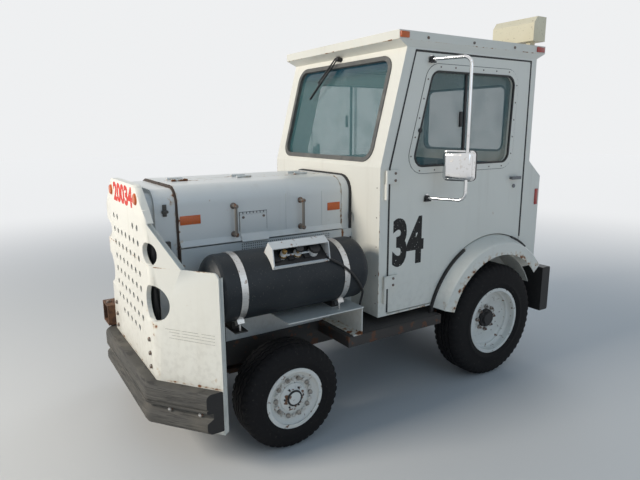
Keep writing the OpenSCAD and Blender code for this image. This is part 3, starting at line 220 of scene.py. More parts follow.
def cone(shape, at, radius, top_radius, height, sides):
    """A capped cone or cylinder, centred on a frame and along its Z"""
    bmesh.ops.create_cone(shape, segments=sides, radius1=radius, radius2=top_radius, depth=height, cap_ends=True,
                          matrix=at)


def bolt(shape, place, direction, width, height, sides=6, crown=0.82):
    """A bolt head or rivet that stands on a surface, with a crown narrower by a share"""
    at, top = facing(place, direction), width * crown
    cone(shape, at @ Matrix.Translation((0, 0, height * 0.35)), width / 2, width / 2, height * 0.7, sides)
    cone(shape, at @ Matrix.Translation((0, 0, height * 0.85)), top / 2, top * 0.36, height * 0.3, max(sides, 12))


def rod(shape, start, end, radius, sides=12):
    """A round rod between two points"""
    start, end = Vector(start), Vector(end)
    cone(shape, facing((start + end) / 2, end - start), radius, radius, (end - start).length, sides)


def block(shape, place, size, turn=Matrix()):
    """A block centred on a place, turned by a matrix where one is given"""
    bmesh.ops.create_cube(shape, size=1, matrix=turn @ Matrix.Translation(place) @ Matrix.Diagonal((*size, 1)))


def bar(shape, low, high, turn=Matrix()):
    """A block given by two corners"""
    low, high = Vector(low), Vector(high)
    block(shape, (low + high) / 2, [abs(c) for c in high - low], turn)


def wing(side):
    """The directions along a wing of the nose and out from it"""
    return (Vector((side * math.cos(sweep), math.sin(sweep), 0)),
            Vector((side * math.sin(sweep), -math.cos(sweep), 0)))


plate_t, plate_gap = 0.008, 0.0003
nose_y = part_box("frame")[0][1] - plate_t - plate_gap
fold_x, sweep = 0.427, math.radians(37.5)
nose_enamel = enamel("nose enamel", [{"z": (0.462, 0.012)}, {"z": (1.031, 0.006)}],
                     [(0.44, nose_y, 0.735, 0.06), (0.43, nose_y, 0.50, 0.06), (0.05, nose_y, 0.50, 0.09),
                      (0.70, nose_y + 0.2, 0.5, 0.06), (-0.43, nose_y, 0.74, 0.07), (0.43, nose_y, 1.025, 0.04),
                      (-0.42, nose_y, 1.02, 0.05), (0.33, nose_y, 0.80, 0.04)])
plate = bpy.data.objects.new("nose_panel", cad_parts["nose_plate"].data.copy())
bpy.context.collection.objects.link(plate)
# The flat face is made whole, then drilled in a grid without the top row's middle and the
# bottom row's ends
hole_r, hole_step_x, hole_step_z, top_hole_z = 0.017, 0.083, 0.078, 1.191
blank, drills = bmesh.new(), bmesh.new()
block(blank, (0, nose_y + plate_t / 2, 0.94), (0.62, plate_t, 0.60))
for row in range(8):
    for column in range(-3, 4):
        if (row == 0 and abs(column) < 2) or (row == 7 and abs(column) > 2):
            continue
        middle = (column * hole_step_x, nose_y, top_hole_z - row * hole_step_z)
        cone(drills, facing(middle, (0, 1, 0)), hole_r, hole_r, 0.03, 24)
for shape, operation in ((blank, "UNION"), (drills, "DIFFERENCE")):
    tool = bpy.data.objects.new("tool", bpy.data.meshes.new("tool"))
    shape.to_mesh(tool.data)
    shape.free()
    bpy.context.collection.objects.link(tool)
    bpy.context.view_layer.objects.active = plate
    cut = plate.modifiers.new("cut", "BOOLEAN")
    cut.operation, cut.object, cut.solver = operation, tool, "EXACT"
    bpy.ops.object.modifier_apply(modifier="cut")
    bpy.data.objects.remove(tool)
shape = bmesh.new()
shape.from_mesh(plate.data)
bpy.data.objects.remove(plate)
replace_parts(piece("nose_panel", shape, nose_enamel, "chassis", 30), "nose_plate")
steel = Finish("bolt steel", (0.16, 0.14, 0.125), 0.5, Specular_IOR_Level=0.6)
steel.over(steel.noise(90, 4).step(0.52, 0.62), (0.20, 0.085, 0.035), 0.85)
steel.height = steel.noise(260, 3)
steel = steel.done(0.4, 0.55)
bolts = bmesh.new()
for side in (-1, 1):
    for z in (0.643, 0.57, 0.498):
        bolt(bolts, (side * 0.352, nose_y, z), (0, -1, 0), 0.024, 0.011)
piece("nose_bolts", bolts, steel, "chassis")
# A black sheet behind the holes and black plates behind the slots, painted shade for the dark
# inside of the nose, with two black hoses by each slot; and tape marks left on the left wing
black = Finish("black rubber", (0.012, 0.012, 0.013), 0.6)
black.over(black.noise(25, 4).step(0.5, 0.75) * 0.5, (0.04, 0.038, 0.036), 0.8)
black.height = black.noise(160, 3)
black = black.done(0.4)
shade_baffle = bmesh.new()
bar(shade_baffle, (-0.285, nose_y + 0.018, 0.585), (0.285, nose_y + 0.022, 1.245))
for side in (-1, 1):
    bar(shade_baffle, (side * 0.290, nose_y + 0.030, 0.56), (side * 0.294, nose_y + 0.078, 1.16))
    rod(shade_baffle, (side * 0.318, nose_y + 0.045, 0.60), (side * 0.326, nose_y + 0.055, 1.12), 0.014)
    rod(shade_baffle, (side * 0.340, nose_y + 0.060, 0.58), (side * 0.318, nose_y + 0.050, 0.98), 0.009)
piece("nose_baffle", shade_baffle, black, "chassis")
marks = bmesh.new()
marks_end = 0.34
for start, z, fall in ((0.07, 0.732, 0.004), (0.09, 0.718, 0.005), (0.10, 0.703, 0.005), (0.09, 0.688, 0.006)):
    foot, along = Vector((fold_x, nose_y, z)), wing(1)[0]
    rod(marks, foot + along * start, foot + along * marks_end - Vector((0, 0, fall)), 0.0011, 6)
marks_film = Finish("tape marks", (0.30, 0.28, 0.24), 0.7)
marks_film.over(marks_film.noise(30, 4).step(0.52, 0.70), (0.72, 0.70, 0.63))
marks_film.height = marks_film.noise(200)
piece("wing_tape_marks", marks, marks_film.done(0.1), "chassis")

# Round reflectors of the nose
# Moulded amber plastic in a thin rim, stuck to the plate, one at each end of the number.
# The same plastic serves for the hood's reflectors and the roof's front markers.
amber = Finish("amber plastic", (0.58, 0.105, 0.006), 0.35, Coat_Weight=0.2, Coat_Roughness=0.2)
cells = amber.noise(210, kind="Voronoi", out="Distance")
amber.over(cells.step(0.25, 0.6) * 0.5, (0.46, 0.075, 0.005))
amber.over(amber.noise(30, 4).step(0.55, 0.75) * 0.4, (0.30, 0.11, 0.035), 0.6)
amber.height = cells
amber = amber.done(0.5)
both_sides = (("left", 1), ("right", -1))
for name, side in both_sides:
    lens = bmesh.new()
    for radius, depth, start in ((0.030, 0.005, 0.0), (0.026, 0.004, 0.005)):
        middle = (side * 0.262, nose_y - start - depth / 2, 1.336)
        cone(lens, facing(middle, (0, -1, 0)), radius, radius - 0.002, depth, 40)
    piece("nose_reflector_" + name, lens, amber, "chassis")

# Fleet numbers
# Plain digits cut from self-adhesive film and stuck on the paint: red across the nose, black
# on both doors. The film has worn through in spots.
def digits(name, text, height, width, place, direction, material, body):
    """Bold digits of a height and width, centred on a place of a flat panel"""
    curve = bpy.data.curves.new(name, "FONT")
    curve.body, curve.extrude, curve.offset, curve.resolution_u = text, 0.004, 0.045, 4
    curve.align_x = "CENTER"
    written = bpy.data.objects.new(name + "_curve", curve)
    bpy.context.collection.objects.link(written)
    mesh = bpy.data.meshes.new_from_object(written.evaluated_get(bpy.context.evaluated_depsgraph_get()))
    bpy.data.objects.remove(written)
    shape = bmesh.new()
    shape.from_mesh(mesh)
    xs, ys = [v.co.x for v in shape.verts], [v.co.y for v in shape.verts]
    middle = Vector(((min(xs) + max(xs)) / 2, (min(ys) + max(ys)) / 2, -0.004))
    bmesh.ops.translate(shape, verts=shape.verts, vec=-middle)
    bmesh.ops.scale(shape, verts=shape.verts,
                    vec=(width / (max(xs) - min(xs)), height / (max(ys) - min(ys)), 0.08))
    side = Vector((0, 0, 1)).cross(Vector(direction))
    turn = Matrix((side, Vector((0, 0, 1)), Vector(direction))).transposed().to_4x4()
    bmesh.ops.transform(shape, verts=shape.verts, matrix=Matrix.Translation(place) @ turn)
    bmesh.ops.remove_doubles(shape, verts=shape.verts, dist=0.00001)
    piece(name, shape, material, body)


def film(name, colour):
    foil = Finish(name, colour, 0.5, Specular_IOR_Level=0.25)
    foil.over(foil.noise(95, 5).step(0.66, 0.70), (0.62, 0.60, 0.54))
    foil.over(foil.noise(9, 4).step(0.5, 0.8) * 0.35, [c * 1.3 + 0.015 for c in colour], 0.6)
    foil.height = foil.noise(400, 2)
    return foil.done(0.15)


digits("nose_number", "20034", 0.106, 0.41, (0, nose_y, 1.335), (0, -1, 0), film("red film", (0.60, 0.035, 0.02)),
       "chassis")
door_x = 0.601
black_film = film("black film", (0.012, 0.012, 0.012))
for name, side in both_sides:
    digits("door_number_" + name, "34", 0.292, 0.245, (side * door_x, 0.069, 1.012), (side, 0, 0), black_film,
           "door_" + name)

# Front bumper
# Solid extruded rubber bent round the nose, held by bolts in a deep groove. It is scuffed
# grey on its faces, and near black on its sawn ends: the cut rubber, and painted shade there.
rubber = Finish("bumper rubber", (0.060, 0.057, 0.051), 0.78)
scuffs = rubber.noise(16, 5, (0.35, 0.35, 7))
rubber.over(scuffs.step(0.45, 0.7) * 0.7, (0.120, 0.113, 0.098), 0.86)
rubber.over(rubber.noise(42, 4, (0.3, 0.3, 5)).step(0.53, 0.64) * 0.8, (0.022, 0.021, 0.020))
rubber.over(rubber.noise(6, 4).step(0.5, 0.75) * 0.3, (0.16, 0.14, 0.11))
# Near black on the sawn ends: the cut rubber, and painted shade on the end faces
rubber.over(abs(rubber.x).step(0.7205, 0.7212), (0.006, 0.006, 0.007), 0.6)
rubber.height = scuffs * 0.6 + rubber.noise(70, 4, (0.3, 0.3, 4)) * 0.4
rubber = rubber.done(0.8, depth=0.003)
# Section as distance from the plate and height: flat back, round front edges, groove
low, high, depth, edge_r = 0.250, 0.456, 0.066, 0.024
quarter = (0.0, 0.4, 0.8, 1.2, 1.571)
section = [(0.0003, low + 0.004), (0.004, low)]
section += [(depth - edge_r + edge_r * math.sin(a), low + edge_r - edge_r * math.cos(a)) for a in quarter]
section += [(depth - sunk, z) for sunk, z in (
    (0, 0.306), (0.002, 0.310), (0.024, 0.326), (0.026, 0.330), (0.026, 0.352), (0.024, 0.356), (0.002, 0.360),
    (0, 0.363), (0, 0.374), (0.006, 0.376), (0.006, 0.381), (0, 0.383))]
section += [(depth - edge_r + edge_r * math.cos(a), high - edge_r + edge_r * math.sin(a)) for a in quarter]
section += [(0.004, high), (0.0003, high - 0.004)]
shape = bmesh.new()
rows = []
# Stations: the side of the nose, and how far along its wing. A run below zero is a share of
# the bend at the fold, and the two at side 0 are the middle of the nose
stations = [(-1, 0.40), (-1, 0.0)] + [(-1, -t) for t in (0.75, 0.5, 0.25)] + [(0, -1), (0, 1)]
stations += [(1, -t) for t in (0.25, 0.5, 0.75)] + [(1, 0.0), (1, 0.40)]
for side, run in stations:
    turned = sweep * (side if run >= 0 else -side * run) if side else 0.0
    ahead = Vector((math.sin(turned), -math.cos(turned), 0))
    foot = Vector(((side or run) * fold_x, nose_y, 0))
    if side and run > 0:
        foot += wing(side)[0] * run
    rows.append([shape.verts.new(foot + ahead * d + Vector((0, 0, z))) for d, z in section])
for one, two in zip(rows, rows[1:]):
    for k in range(len(section)):
        after = (k + 1) % len(section)
        shape.faces.new((one[k], one[after], two[after], two[k]))
shape.faces.new(rows[0])
shape.faces.new(rows[-1])
# Both ends are sawn off square to the tug
for side in (-1, 1):
    sawn = bmesh.ops.bisect_plane(shape, geom=shape.verts[:] + shape.edges[:] + shape.faces[:],
                                  plane_co=(side * 0.7215, 0, 0), plane_no=(side, 0, 0), clear_outer=True)
    edges = [e for e in sawn["geom_cut"] if isinstance(e, bmesh.types.BMEdge)]
    bmesh.ops.contextual_create(shape, geom=edges)
bmesh.ops.triangulate(shape, faces=[f for f in shape.faces if len(f.verts) > 4])
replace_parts(piece("bumper_rubber", shape, rubber, "chassis", 35), "front_bumper")
groove_z = 0.341
bolts, washers = bmesh.new(), bmesh.new()
for side in (-1, 1):
    along, out = wing(side)
    for reach in (0.10, 0.27):
        foot = Vector((side * fold_x, nose_y, groove_z)) + along * reach
        rod(washers, foot + out * (depth - 0.027), foot + out * (depth - 0.023), 0.013, 20)
        bolt(bolts, foot + out * (depth - 0.024), out, 0.019, 0.012)
    for x in (0.12, 0.34):
        front = nose_y - depth
        rod(washers, (side * x, front + 0.027, groove_z), (side * x, front + 0.023, groove_z), 0.013, 20)
        bolt(bolts, (side * x, front + 0.024, groove_z), (0, -1, 0), 0.019, 0.012)
metal = Finish("bare metal", (0.56, 0.56, 0.55), 0.35)
brushed = metal.noise(30, 3, (1, 0.15, 8))
metal.over(brushed.step(0.4, 0.75) * 0.4, (0.36, 0.36, 0.36), 0.5)
metal.over(metal.noise(60, 5).step(0.60, 0.68) * 0.6, (0.22, 0.13, 0.08), 0.8)
metal.height = brushed
metal = metal.done(0.25, 0.9)
piece("bumper_bolts", bolts, metal, "chassis")
piece("bumper_washers", washers, steel, "chassis")

# Tow tube
# Welded square steel tube beside the right rail, bare and evenly rusted. One bolt stands on
# its top near the mouth.
rusty = Finish("rusty steel", (0.15, 0.075, 0.04), 0.85)
flakes = rusty.noise(26, 6)
rusty.over(flakes.step(0.4, 0.62), (0.085, 0.045, 0.03))
rusty.over(rusty.noise(7, 4).step(0.55, 0.7) * 0.7, (0.24, 0.13, 0.07))
rusty.height = flakes + rusty.noise(150, 4) * 0.4
rusty = rusty.done(0.8, 0.15)
dress(rusty, "tow_tube")
tube_low, tube_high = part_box("tow_tube")
bolts = bmesh.new()
bolt(bolts, (tube_low[0] + 0.07, tube_low[1] + 0.022, tube_high[2]), (0, 0, 1), 0.034, 0.016)
piece("tow_tube_bolt", bolts, steel, "chassis")

# Frame
# Welded rails and deck under worn black paint. A thin black rubber mat with pips is glued to
# each running board.
def ironwork(name, colour=(0.022, 0.020, 0.019), rust=0.56, oil=0.0):
    """Black paint over iron that rusts in spots, with oil on it where some is given"""
    iron = Finish(name, colour, 0.62)
    spots = iron.noise(19, 6)
    iron.over(iron.noise(3, 4).step(0.45, 0.7) * 0.6, [c * 1.9 + 0.01 for c in colour], 0.8)
    iron.over(spots.step(rust, rust + 0.07) * 0.85, (0.11, 0.048, 0.025), 0.9)
    if oil:
        iron.over(iron.noise(5, 3).step(0.48, 0.62) * oil, (0.012, 0.010, 0.008), 0.25)
    iron.height = spots + iron.noise(130, 3) * 0.5
    return iron.done(0.6)


def soften(shape, offset, segments=2):
    """Rounds the edges of a shape"""
    bmesh.ops.bevel(shape, geom=shape.edges, offset=offset, segments=segments, profile=0.5, affect="EDGES", material=-1)


dress(ironwork("chassis paint"), "frame")
mat = Finish("running board mat", (0.03, 0.03, 0.03), 0.8)
pips = mat.noise(62, kind="Voronoi", out="Distance")
mat.over(mat.noise(4, 4).step(0.45, 0.7) * 0.6, (0.10, 0.09, 0.075))
mat.height = 1 - pips.step(0.1, 0.4)
mat = mat.done(0.7, depth=0.002)
deck_z, mat_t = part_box("frame")[1][2], 0.003
for name, side in both_sides:
    shape = bmesh.new()
    block(shape, (side * 0.51, -0.049, deck_z + mat_t / 2), (0.285, 0.69, mat_t))
    soften(shape, 0.001, 1)
    piece("board_mat_" + name, shape, mat, "chassis")

# Hood and cowl
# Steel sheet in the cab's enamel, in a cooler, greyer tone that is painted sky reflection. The
# covers' seams have rusted through the paint and two faint weld lines cross each cover.
# Reflectors, grab handles and catches are bolted on.
seam_y = -1.221
# Its tone, cooler and greyer than the cab's, is painted sky reflection
hood_enamel = enamel("hood enamel", [{"y": (seam_y, 0.022)}, {"y": (-0.222, 0.016)},
                                     {"x": (0.046, 0.03), "z": (1.39, 0.02)}],
                     [(0.32, -1.22, 1.10, 0.06), (0.30, -1.22, 1.33, 0.07), (-0.30, -1.22, 1.33, 0.07),
                      (-0.32, -1.22, 1.12, 0.08)], 0.685, (0.70, 0.70, 0.67), 0.3,
                     [({"x": (0.329, 0.40), "z": (1.116, 1.30)}, (0.16, 0.145, 0.125)),
                      # A dark band over the front seam: painted shade of the gap between cowl and covers, with rust in
                      # it
                      ({"y": (seam_y - 0.0035, seam_y + 0.0045)}, (0.040, 0.024, 0.016))])
dress(hood_enamel, "hood_frame", "cover_left", "cover_right", "radiator_cowl")


def band(shape, outline, inner, outer, low, high, closed=True, turn=Matrix()):
    """A strip along an outline in (y, z), between two distances from it, from x low to x high"""
    rows, count = [], len(outline)
    for i, point in enumerate(outline):
        before = outline[i - 1] if closed or i else point
        after = outline[(i + 1) % count] if closed or i < count - 1 else point
        along = (after - before).normalized()
        out = Vector((along.y, -along.x))
        rows.append([shape.verts.new(turn @ Vector((x, *(point + out * reach)))) for x, reach in
                     ((low, inner), (high, inner), (high, outer), (low, outer))])
    for one, two in zip(rows, rows[1:] + rows[:1] if closed else rows[1:]):
        for k in range(4):
            shape.faces.new((one[k], one[(k + 1) % 4], two[(k + 1) % 4], two[k]))
    if not closed:
        shape.faces.new(rows[0])
        shape.faces.new(rows[-1])


cover_front, cover_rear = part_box("cover_left")[0][1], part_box("cover_left")[1][1]
hood_x, shoulder_r, shoulder_z = 0.322, 0.095, 1.295
weld = enamel("weld line", wear=0.75, tone=(0.62, 0.62, 0.595))
# Rubber collar between hood and cab with its hooks, and black strips behind the perforations as
# painted shade of the dark space there
collar = [Vector((hood_x, z)) for z in (0.54, 1.0, shoulder_z)]
collar += [Vector((hood_x - shoulder_r + shoulder_r * math.cos(a), shoulder_z + shoulder_r * math.sin(a)))
           for a in (0.3, 0.6, 0.9, 1.2, 1.5708)]
collar += [Vector((-p.x, p.y)) for p in reversed(collar)]
swap_xy = Matrix(((0, 1, 0, 0), (1, 0, 0, 0), (0, 0, 1, 0), (0, 0, 0, 1)))
shape = bmesh.new()
band(shape, collar, -0.001, 0.009, -0.168, -0.1535, False, swap_xy)
for z in (1.17, 1.02):
    rod(shape, (0.336, -0.163, z), (0.352, -0.175, z - 0.006), 0.007, 10)
    rod(shape, (0.352, -0.175, z - 0.006), (0.350, -0.177, z - 0.040), 0.006, 10)
# Black strips behind the perforations: painted shade
for side in (-1, 1):
    bar(shape, (side * 0.327, -0.90, 1.022), (side * 0.3315, -0.31, 1.069))
piece("hood_seal_and_shade", shape, black, "chassis")
# Reflectors, the grab handle's bolts, weld lines, and the flap's hinge with black strips as painted
# shade in the flap's gaps on each cover, and the catch on the cowl before it
flap_front, flap_rear, handle_z = -0.883, -0.725, 1.196
for name, side in both_sides:
    lens = bmesh.new()
    for y, length in ((cover_front + 0.062, 0.108), (cover_rear - 0.052, 0.088)):
        block(lens, (side * (hood_x + 0.0015), y, 1.218), (0.003, length, 0.046))
    soften(lens, 0.001)
    piece("hood_reflectors_" + name, lens, amber, "cover_" + name)
    bolts = bmesh.new()
    for y in (flap_front + 0.018, flap_rear - 0.018):
        bolt(bolts, (side * (hood_x + 0.005), y, 1.205), (side, 0, 0), 0.014, 0.006, 12)
    for y in (-0.919, -0.507):
        for z in (handle_z - 0.076, handle_z + 0.076):
            bolt(bolts, (side * hood_x, y, z), (side, 0, 0), 0.034, 0.006, 16, 0.9)
            bolt(bolts, (side * (hood_x + 0.036), y, z), (side, 0, 0), 0.024, 0.010, 16)
    piece("cover_bolts_" + name, bolts, steel, "cover_" + name)
    welds = bmesh.new()
    for y in (-0.60, -0.36):
        cone(welds, facing((side * hood_x, y, 1.215), (0, 0, 1)), 0.0022, 0.0022, 0.20, 8)
    piece("cover_welds_" + name, welds, weld, "cover_" + name)
    hinge, shade = bmesh.new(), bmesh.new()
    # Black strips along the flap's hinge and its front and rear edges: painted shade in the gaps
    bar(shade, (side * 0.3221, flap_front - 0.004, 1.214), (side * 0.3236, flap_rear + 0.004, 1.234))
    for knuckle in range(8):
        y = flap_front - 0.001 + 0.0205 * knuckle
        bar(hinge, (side * 0.323, y, 1.216), (side * 0.3285, y + 0.015, 1.232))
    for y in (flap_front - 0.004, flap_rear + 0.0015):
        bar(shade, (side * 0.3216, y, 1.130), (side * 0.3226, y + 0.0025, 1.214))
    piece("flap_hinge_" + name, hinge, weld, "cover_" + name)
    piece("flap_gap_shade_" + name, shade, black, "cover_" + name)
    latch = bmesh.new()
    for low, high in (((0.309, -1.290, 1.245), (0.318, -1.270, 1.305)),
                      ((0.311, -1.296, 1.262), (0.327, -1.264, 1.276)),
                      ((0.308, -1.31, 1.03), (0.330, -1.262, 1.119))):
        bar(latch, (side * low[0], *low[1:]), (side * high[0], *high[1:]))
    soften(latch, 0.003)
    piece("cowl_latch_" + name, latch, rubber, "chassis")

# Engine and radiator
# The engine is oily cast iron under grey paint, bolted between the rails. The radiator is a
# black finned core behind the nose plate. Both are seen through holes and from below.
dress(ironwork("engine iron", (0.07, 0.07, 0.072), 0.62, 0.8), "engine_block")
core = Finish("radiator core", (0.02, 0.021, 0.022), 0.5)
fins = core.node("ShaderNodeTexWave", {"bands_direction": "X"}, {"Vector": core.place, "Scale": 60})
core.over(fins.step(0.3, 0.7), (0.055, 0.057, 0.06))
core.height = fins
dress(core.done(0.8), "radiator")

# Cab
# Steel sheet walls and roof in white enamel. Seams and lower edges rust, and rain has left
# grey runs. Small dark rivets hold the front panel, and bolts hold the roof's edge.
wall_y, rim_z = -0.153, 2.141
cab_enamel = enamel("cab enamel", [{"z": (0.582, 0.012)}, {"y": (wall_y, 0.008), "x": (door_x, 0.008)},
                                   {"y": (1.146, 0.01), "z": (1.444, 0.012)}],
                    [(0.6, 1.17, 0.76, 0.09), (-0.6, 1.17, 0.76, 0.09), (0.6, -0.1, 0.60, 0.05),
                     (-0.6, -0.1, 0.62, 0.08), (0.6, 1.25, 0.72, 0.07)],
                    parts=[({"x": (0.6035, 0.66), "y": (0.92, 1.06), "z": (1.25, 1.36)}, (0.17, 0.17, 0.175))])
dress(cab_enamel, "cab_shell", "door_left", "door_right")
dress(enamel("roof enamel", [{"z": (rim_z, 0.006)}], wear=0.705, tone=(0.70, 0.685, 0.615)), "cab_roof")
roof_low, roof_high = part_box("cab_roof")
roof_bolt_z = 2.160
bolts = bmesh.new()
for side in (-1, 1):
    for y in (0.16, 0.53, 0.90):
        bolt(bolts, (side * roof_high[0], y, roof_bolt_z), (side, 0, 0), 0.017, 0.007)
for x in (-0.4, 0.0, 0.4):
    bolt(bolts, (x, roof_high[1], roof_bolt_z), (0, 1, 0), 0.017, 0.007)
piece("roof_bolts", bolts, steel, "chassis")
rivets = bmesh.new()
for side in (-1, 1):
    for step in range(5):
        bolt(rivets, (side * 0.575, wall_y, 0.66 + 0.17 * step), (0, -1, 0), 0.007, 0.002, 12)
piece("cab_rivets", rivets, steel, "chassis")

# Marker lamps and rear reflectors
# Small moulded plastic lenses, screwed to the roof's edge and to the cab's rear corners.
# Red ones look back, amber ones forward.
red = Finish("red plastic", (0.45, 0.018, 0.012), 0.25, Coat_Weight=0.5, Coat_Roughness=0.1)
cells = red.noise(230, kind="Voronoi", out="Distance")
red.over(cells.step(0.25, 0.6) * 0.5, (0.24, 0.006, 0.006))
red.height = cells
red = red.done(0.5)
edge_z = (rim_z + roof_high[2]) / 2
for name, places, material in (
        ("amber_markers", [((roof_high[0] + 0.003, roof_low[1] + 0.036, edge_z), (0.01, 0.062, 0.032)),
                           ((roof_low[0] - 0.003, roof_low[1] + 0.036, edge_z), (0.01, 0.062, 0.032))], amber),
        ("red_markers", [((roof_high[0] + 0.003, roof_high[1] - 0.05, edge_z), (0.01, 0.075, 0.032)),
                         ((roof_low[0] - 0.003, roof_high[1] - 0.05, edge_z), (0.01, 0.075, 0.032)),
                         ((0.604, 1.245, 1.195), (0.008, 0.030, 0.11)),
                         ((-0.604, 1.245, 1.195), (0.008, 0.030, 0.11))], red)):
    shape = bmesh.new()
    for place, size in places:
        block(shape, place, size)
    soften(shape, 0.003)
    piece(name, shape, material, "chassis")

# Windows
# Clear safety glass with a green cast, set in grey rubber, and a dark band along the
# windscreen's head. The doors' panes sit in slots of the doors.
def glass(name, tinted_head=False):
    """Tinted glass with some dirt, and with a dark band at its head where one is asked for"""
    pane = Finish(name, (0.07, 0.19, 0.205), 0.05, IOR=1.5, Specular_IOR_Level=0.7)
    dirt = pane.noise(5, 5)
    clear = dirt.step(0.45, 0.8) * 0.14 + 0.33
    if tinted_head:
        dark = (pane.z - dirt * 0.03).step(1.93, 2.02)
        pane.over(dark, (0.01, 0.05, 0.075))
        clear = clear | (dark * 0.86)
    pane.over(dirt.step(0.5, 0.85) * 0.3, (0.40, 0.40, 0.36), 0.3)
    return pane.done(alpha=clear)


dress(glass("windscreen glass", True), "cab_glass")
dress(glass("door glass"), "door_glass_left", "door_glass_right")
seal = Finish("window rubber", (0.10, 0.10, 0.095), 0.7)
seal.over(seal.noise(20, 5).step(0.45, 0.7) * 0.6, (0.06, 0.058, 0.055))
seal.over(seal.noise(8, 4).step(0.52, 0.66) * 0.4, (0.19, 0.18, 0.16))
seal.height = seal.noise(120, 4)
seal = seal.done(0.5)
dress(seal, "window_gaskets")

# Wiper
# Two parallel black steel arms on a spindle and a pivot above the glass, and a rubber blade
# that hangs from them across the glass.
screen_z, screen_lean = 1.453, math.atan2(0.172, 0.653)
screen = Matrix.Translation((0, wall_y, screen_z)) @ Matrix.Rotation(-screen_lean, 4, "X")


def over_glass(x, up, out):
    """A place by the distance up the leaning front wall and out from it"""
    return screen @ Vector((x, -out, up))


shape = bmesh.new()
for start, end, radius, sides in (
        ((-0.022, 0.664, 0.0), (-0.022, 0.664, 0.036), 0.013, 20),
        ((-0.052, 0.664, 0.0), (-0.052, 0.664, 0.030), 0.009, 16),
        ((-0.022, 0.664, 0.030), (-0.180, 0.510, 0.025), 0.0045, 10),
        ((-0.052, 0.664, 0.030), (-0.202, 0.522, 0.025), 0.0045, 10),
        ((-0.206, 0.526, 0.025), (-0.176, 0.506, 0.025), 0.006, 10),
        ((-0.098, 0.618, 0.019), (-0.278, 0.418, 0.019), 0.006, 8),
        ((-0.098, 0.618, 0.011), (-0.278, 0.418, 0.011), 0.003, 8),
        ((-0.190, 0.517, 0.027), (-0.190, 0.517, 0.010), 0.005, 8)):
    rod(shape, over_glass(*start), over_glass(*end), radius, sides)
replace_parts(piece("wiper_arms", shape, black, "chassis"), "wiper")

# Doors
# A pressed steel skin with a riveted frame round the window, two bolted hinges, a black
# rubber seal in the gap, and a pull handle over a lock.
def rounded(corners, radius, steps=6):
    """A closed outline with round corners"""
    points, corners = [], [Vector(c) for c in corners]
    for before, at, after in zip(corners[-1:] + corners[:-1], corners, corners[1:] + corners[:1]):
        one, two = (before - at).normalized(), (after - at).normalized()
        half = one.angle(two) / 2
        first, last = at + one * radius / math.tan(half), at + two * radius / math.tan(half)
        middle = at + (one + two).normalized() * radius / math.sin(half)
        for step in range(steps + 1):
            points.append(middle + (first.lerp(last, step / steps) - middle).normalized() * radius)
    return points


window = [Vector(p) for p in ((0.075, 1.449), (0.915, 1.449), (0.935, 1.988), (0.217, 1.988))]
joint = [Vector(p) for p in ((-0.079, 0.600), (-0.079, 1.448), (0.0885, 2.084), (1.084, 2.084), (1.084, 0.93))]
for name, side in both_sides:
    rivets = bmesh.new()
    for start, end, count in ((0, 1, 7), (1, 2, 5), (2, 3, 6), (3, 0, 5)):
        for step in range(count):
            spot = window[start].lerp(window[end], (step + 0.5) / count)
            edge = (window[end] - window[start]).normalized()
            spot += 0.024 * Vector((edge.y, -edge.x))
            bolt(rivets, (side * 0.604, spot.x, spot.y), (side, 0, 0), 0.009, 0.003, 12)
    for z in (1.400, 0.788):
        for dz in (-0.020, 0.020):
            bolt(rivets, (side * 0.6175, -0.056, z + dz), (side, 0, 0), 0.016, 0.006)
    piece("door_rivets_" + name, rivets, steel, "door_" + name)
    shape = bmesh.new()
    for low, high in (((0.578, 0.498, 1.452), (0.594, 0.514, 1.985)), ((0.586, 0.459, 1.675), (0.598, 0.481, 1.765))):
        bar(shape, (side * low[0], *low[1:]), (side * high[0], *high[1:]))
    soften(shape, 0.002)
    rod(shape, (side * 0.584, 0.128, 1.655), (side * 0.612, 0.128, 1.655), 0.013, 20)
    band(shape, rounded(window, 0.062), -0.007, 0.004, side * 0.596, side * 0.6065)
    # A thin black line round the outer edge of the pressed window frame: painted shade at the frame's edge
    band(shape, rounded(window, 0.062), 0.0405, 0.0428, side * 0.600, side * 0.6022)
    for z in (1.262, 2.050):
        rod(shape, (side * 0.609, 0.196, z), (side * 0.622, 0.196, z), 0.017, 20)
        bar(shape, (side * 0.610, 0.172, z - 0.020), (side * 0.624, 0.220, z - 0.012))
    piece("window_seal_and_shade_" + name, shape, black, "door_" + name)
    shape = bmesh.new()
    band(shape, joint, -0.0135, -0.0025, side * 0.592, side * 0.6035, closed=False)
    piece("door_seal_" + name, shape, black, "chassis")

# Mirrors
# Chromed tube bent in a loop and bolted to the door at both ends. Each mirror glass sits in
# a rubber rim in front of a pressed chromed back.
chrome = Finish("mirror chrome", (0.72, 0.72, 0.72), 0.12)
chrome.over(chrome.noise(45, 5).step(0.6, 0.72) * 0.5, (0.35, 0.30, 0.24), 0.5)
chrome.height = chrome.noise(60, 3)
chrome = chrome.done(0.08, 1.0)
dress(chrome, "mirror_left", "mirror_right")
head_place, head_turn = (0.7666, 0.2857, 1.458), math.radians(25)
half_w, half_h = 0.0925, 0.086
for name, side in both_sides:
    flip = Matrix.Scale(side, 4, (1, 0, 0))
    head = flip @ Matrix.Translation(head_place) @ Matrix.Rotation(head_turn, 4, "Z")
    shape = bmesh.new()
    bar(shape, (-0.082, -0.044, -0.079), (0.082, 0.006, 0.079), head)
    soften(shape, 0.022, 5)
    piece("mirror_back_" + name, shape, chrome, "door_" + name, 50)
    shape = bmesh.new()
    rim = rounded([(-half_w, -half_h), (half_w, -half_h), (half_w, half_h), (-half_w, half_h)], 0.024)
    band(shape, rim, -0.006, 0.0025, 0.001, 0.025, turn=head @ swap_xy)
    piece("mirror_rim_" + name, shape, black, "door_" + name)

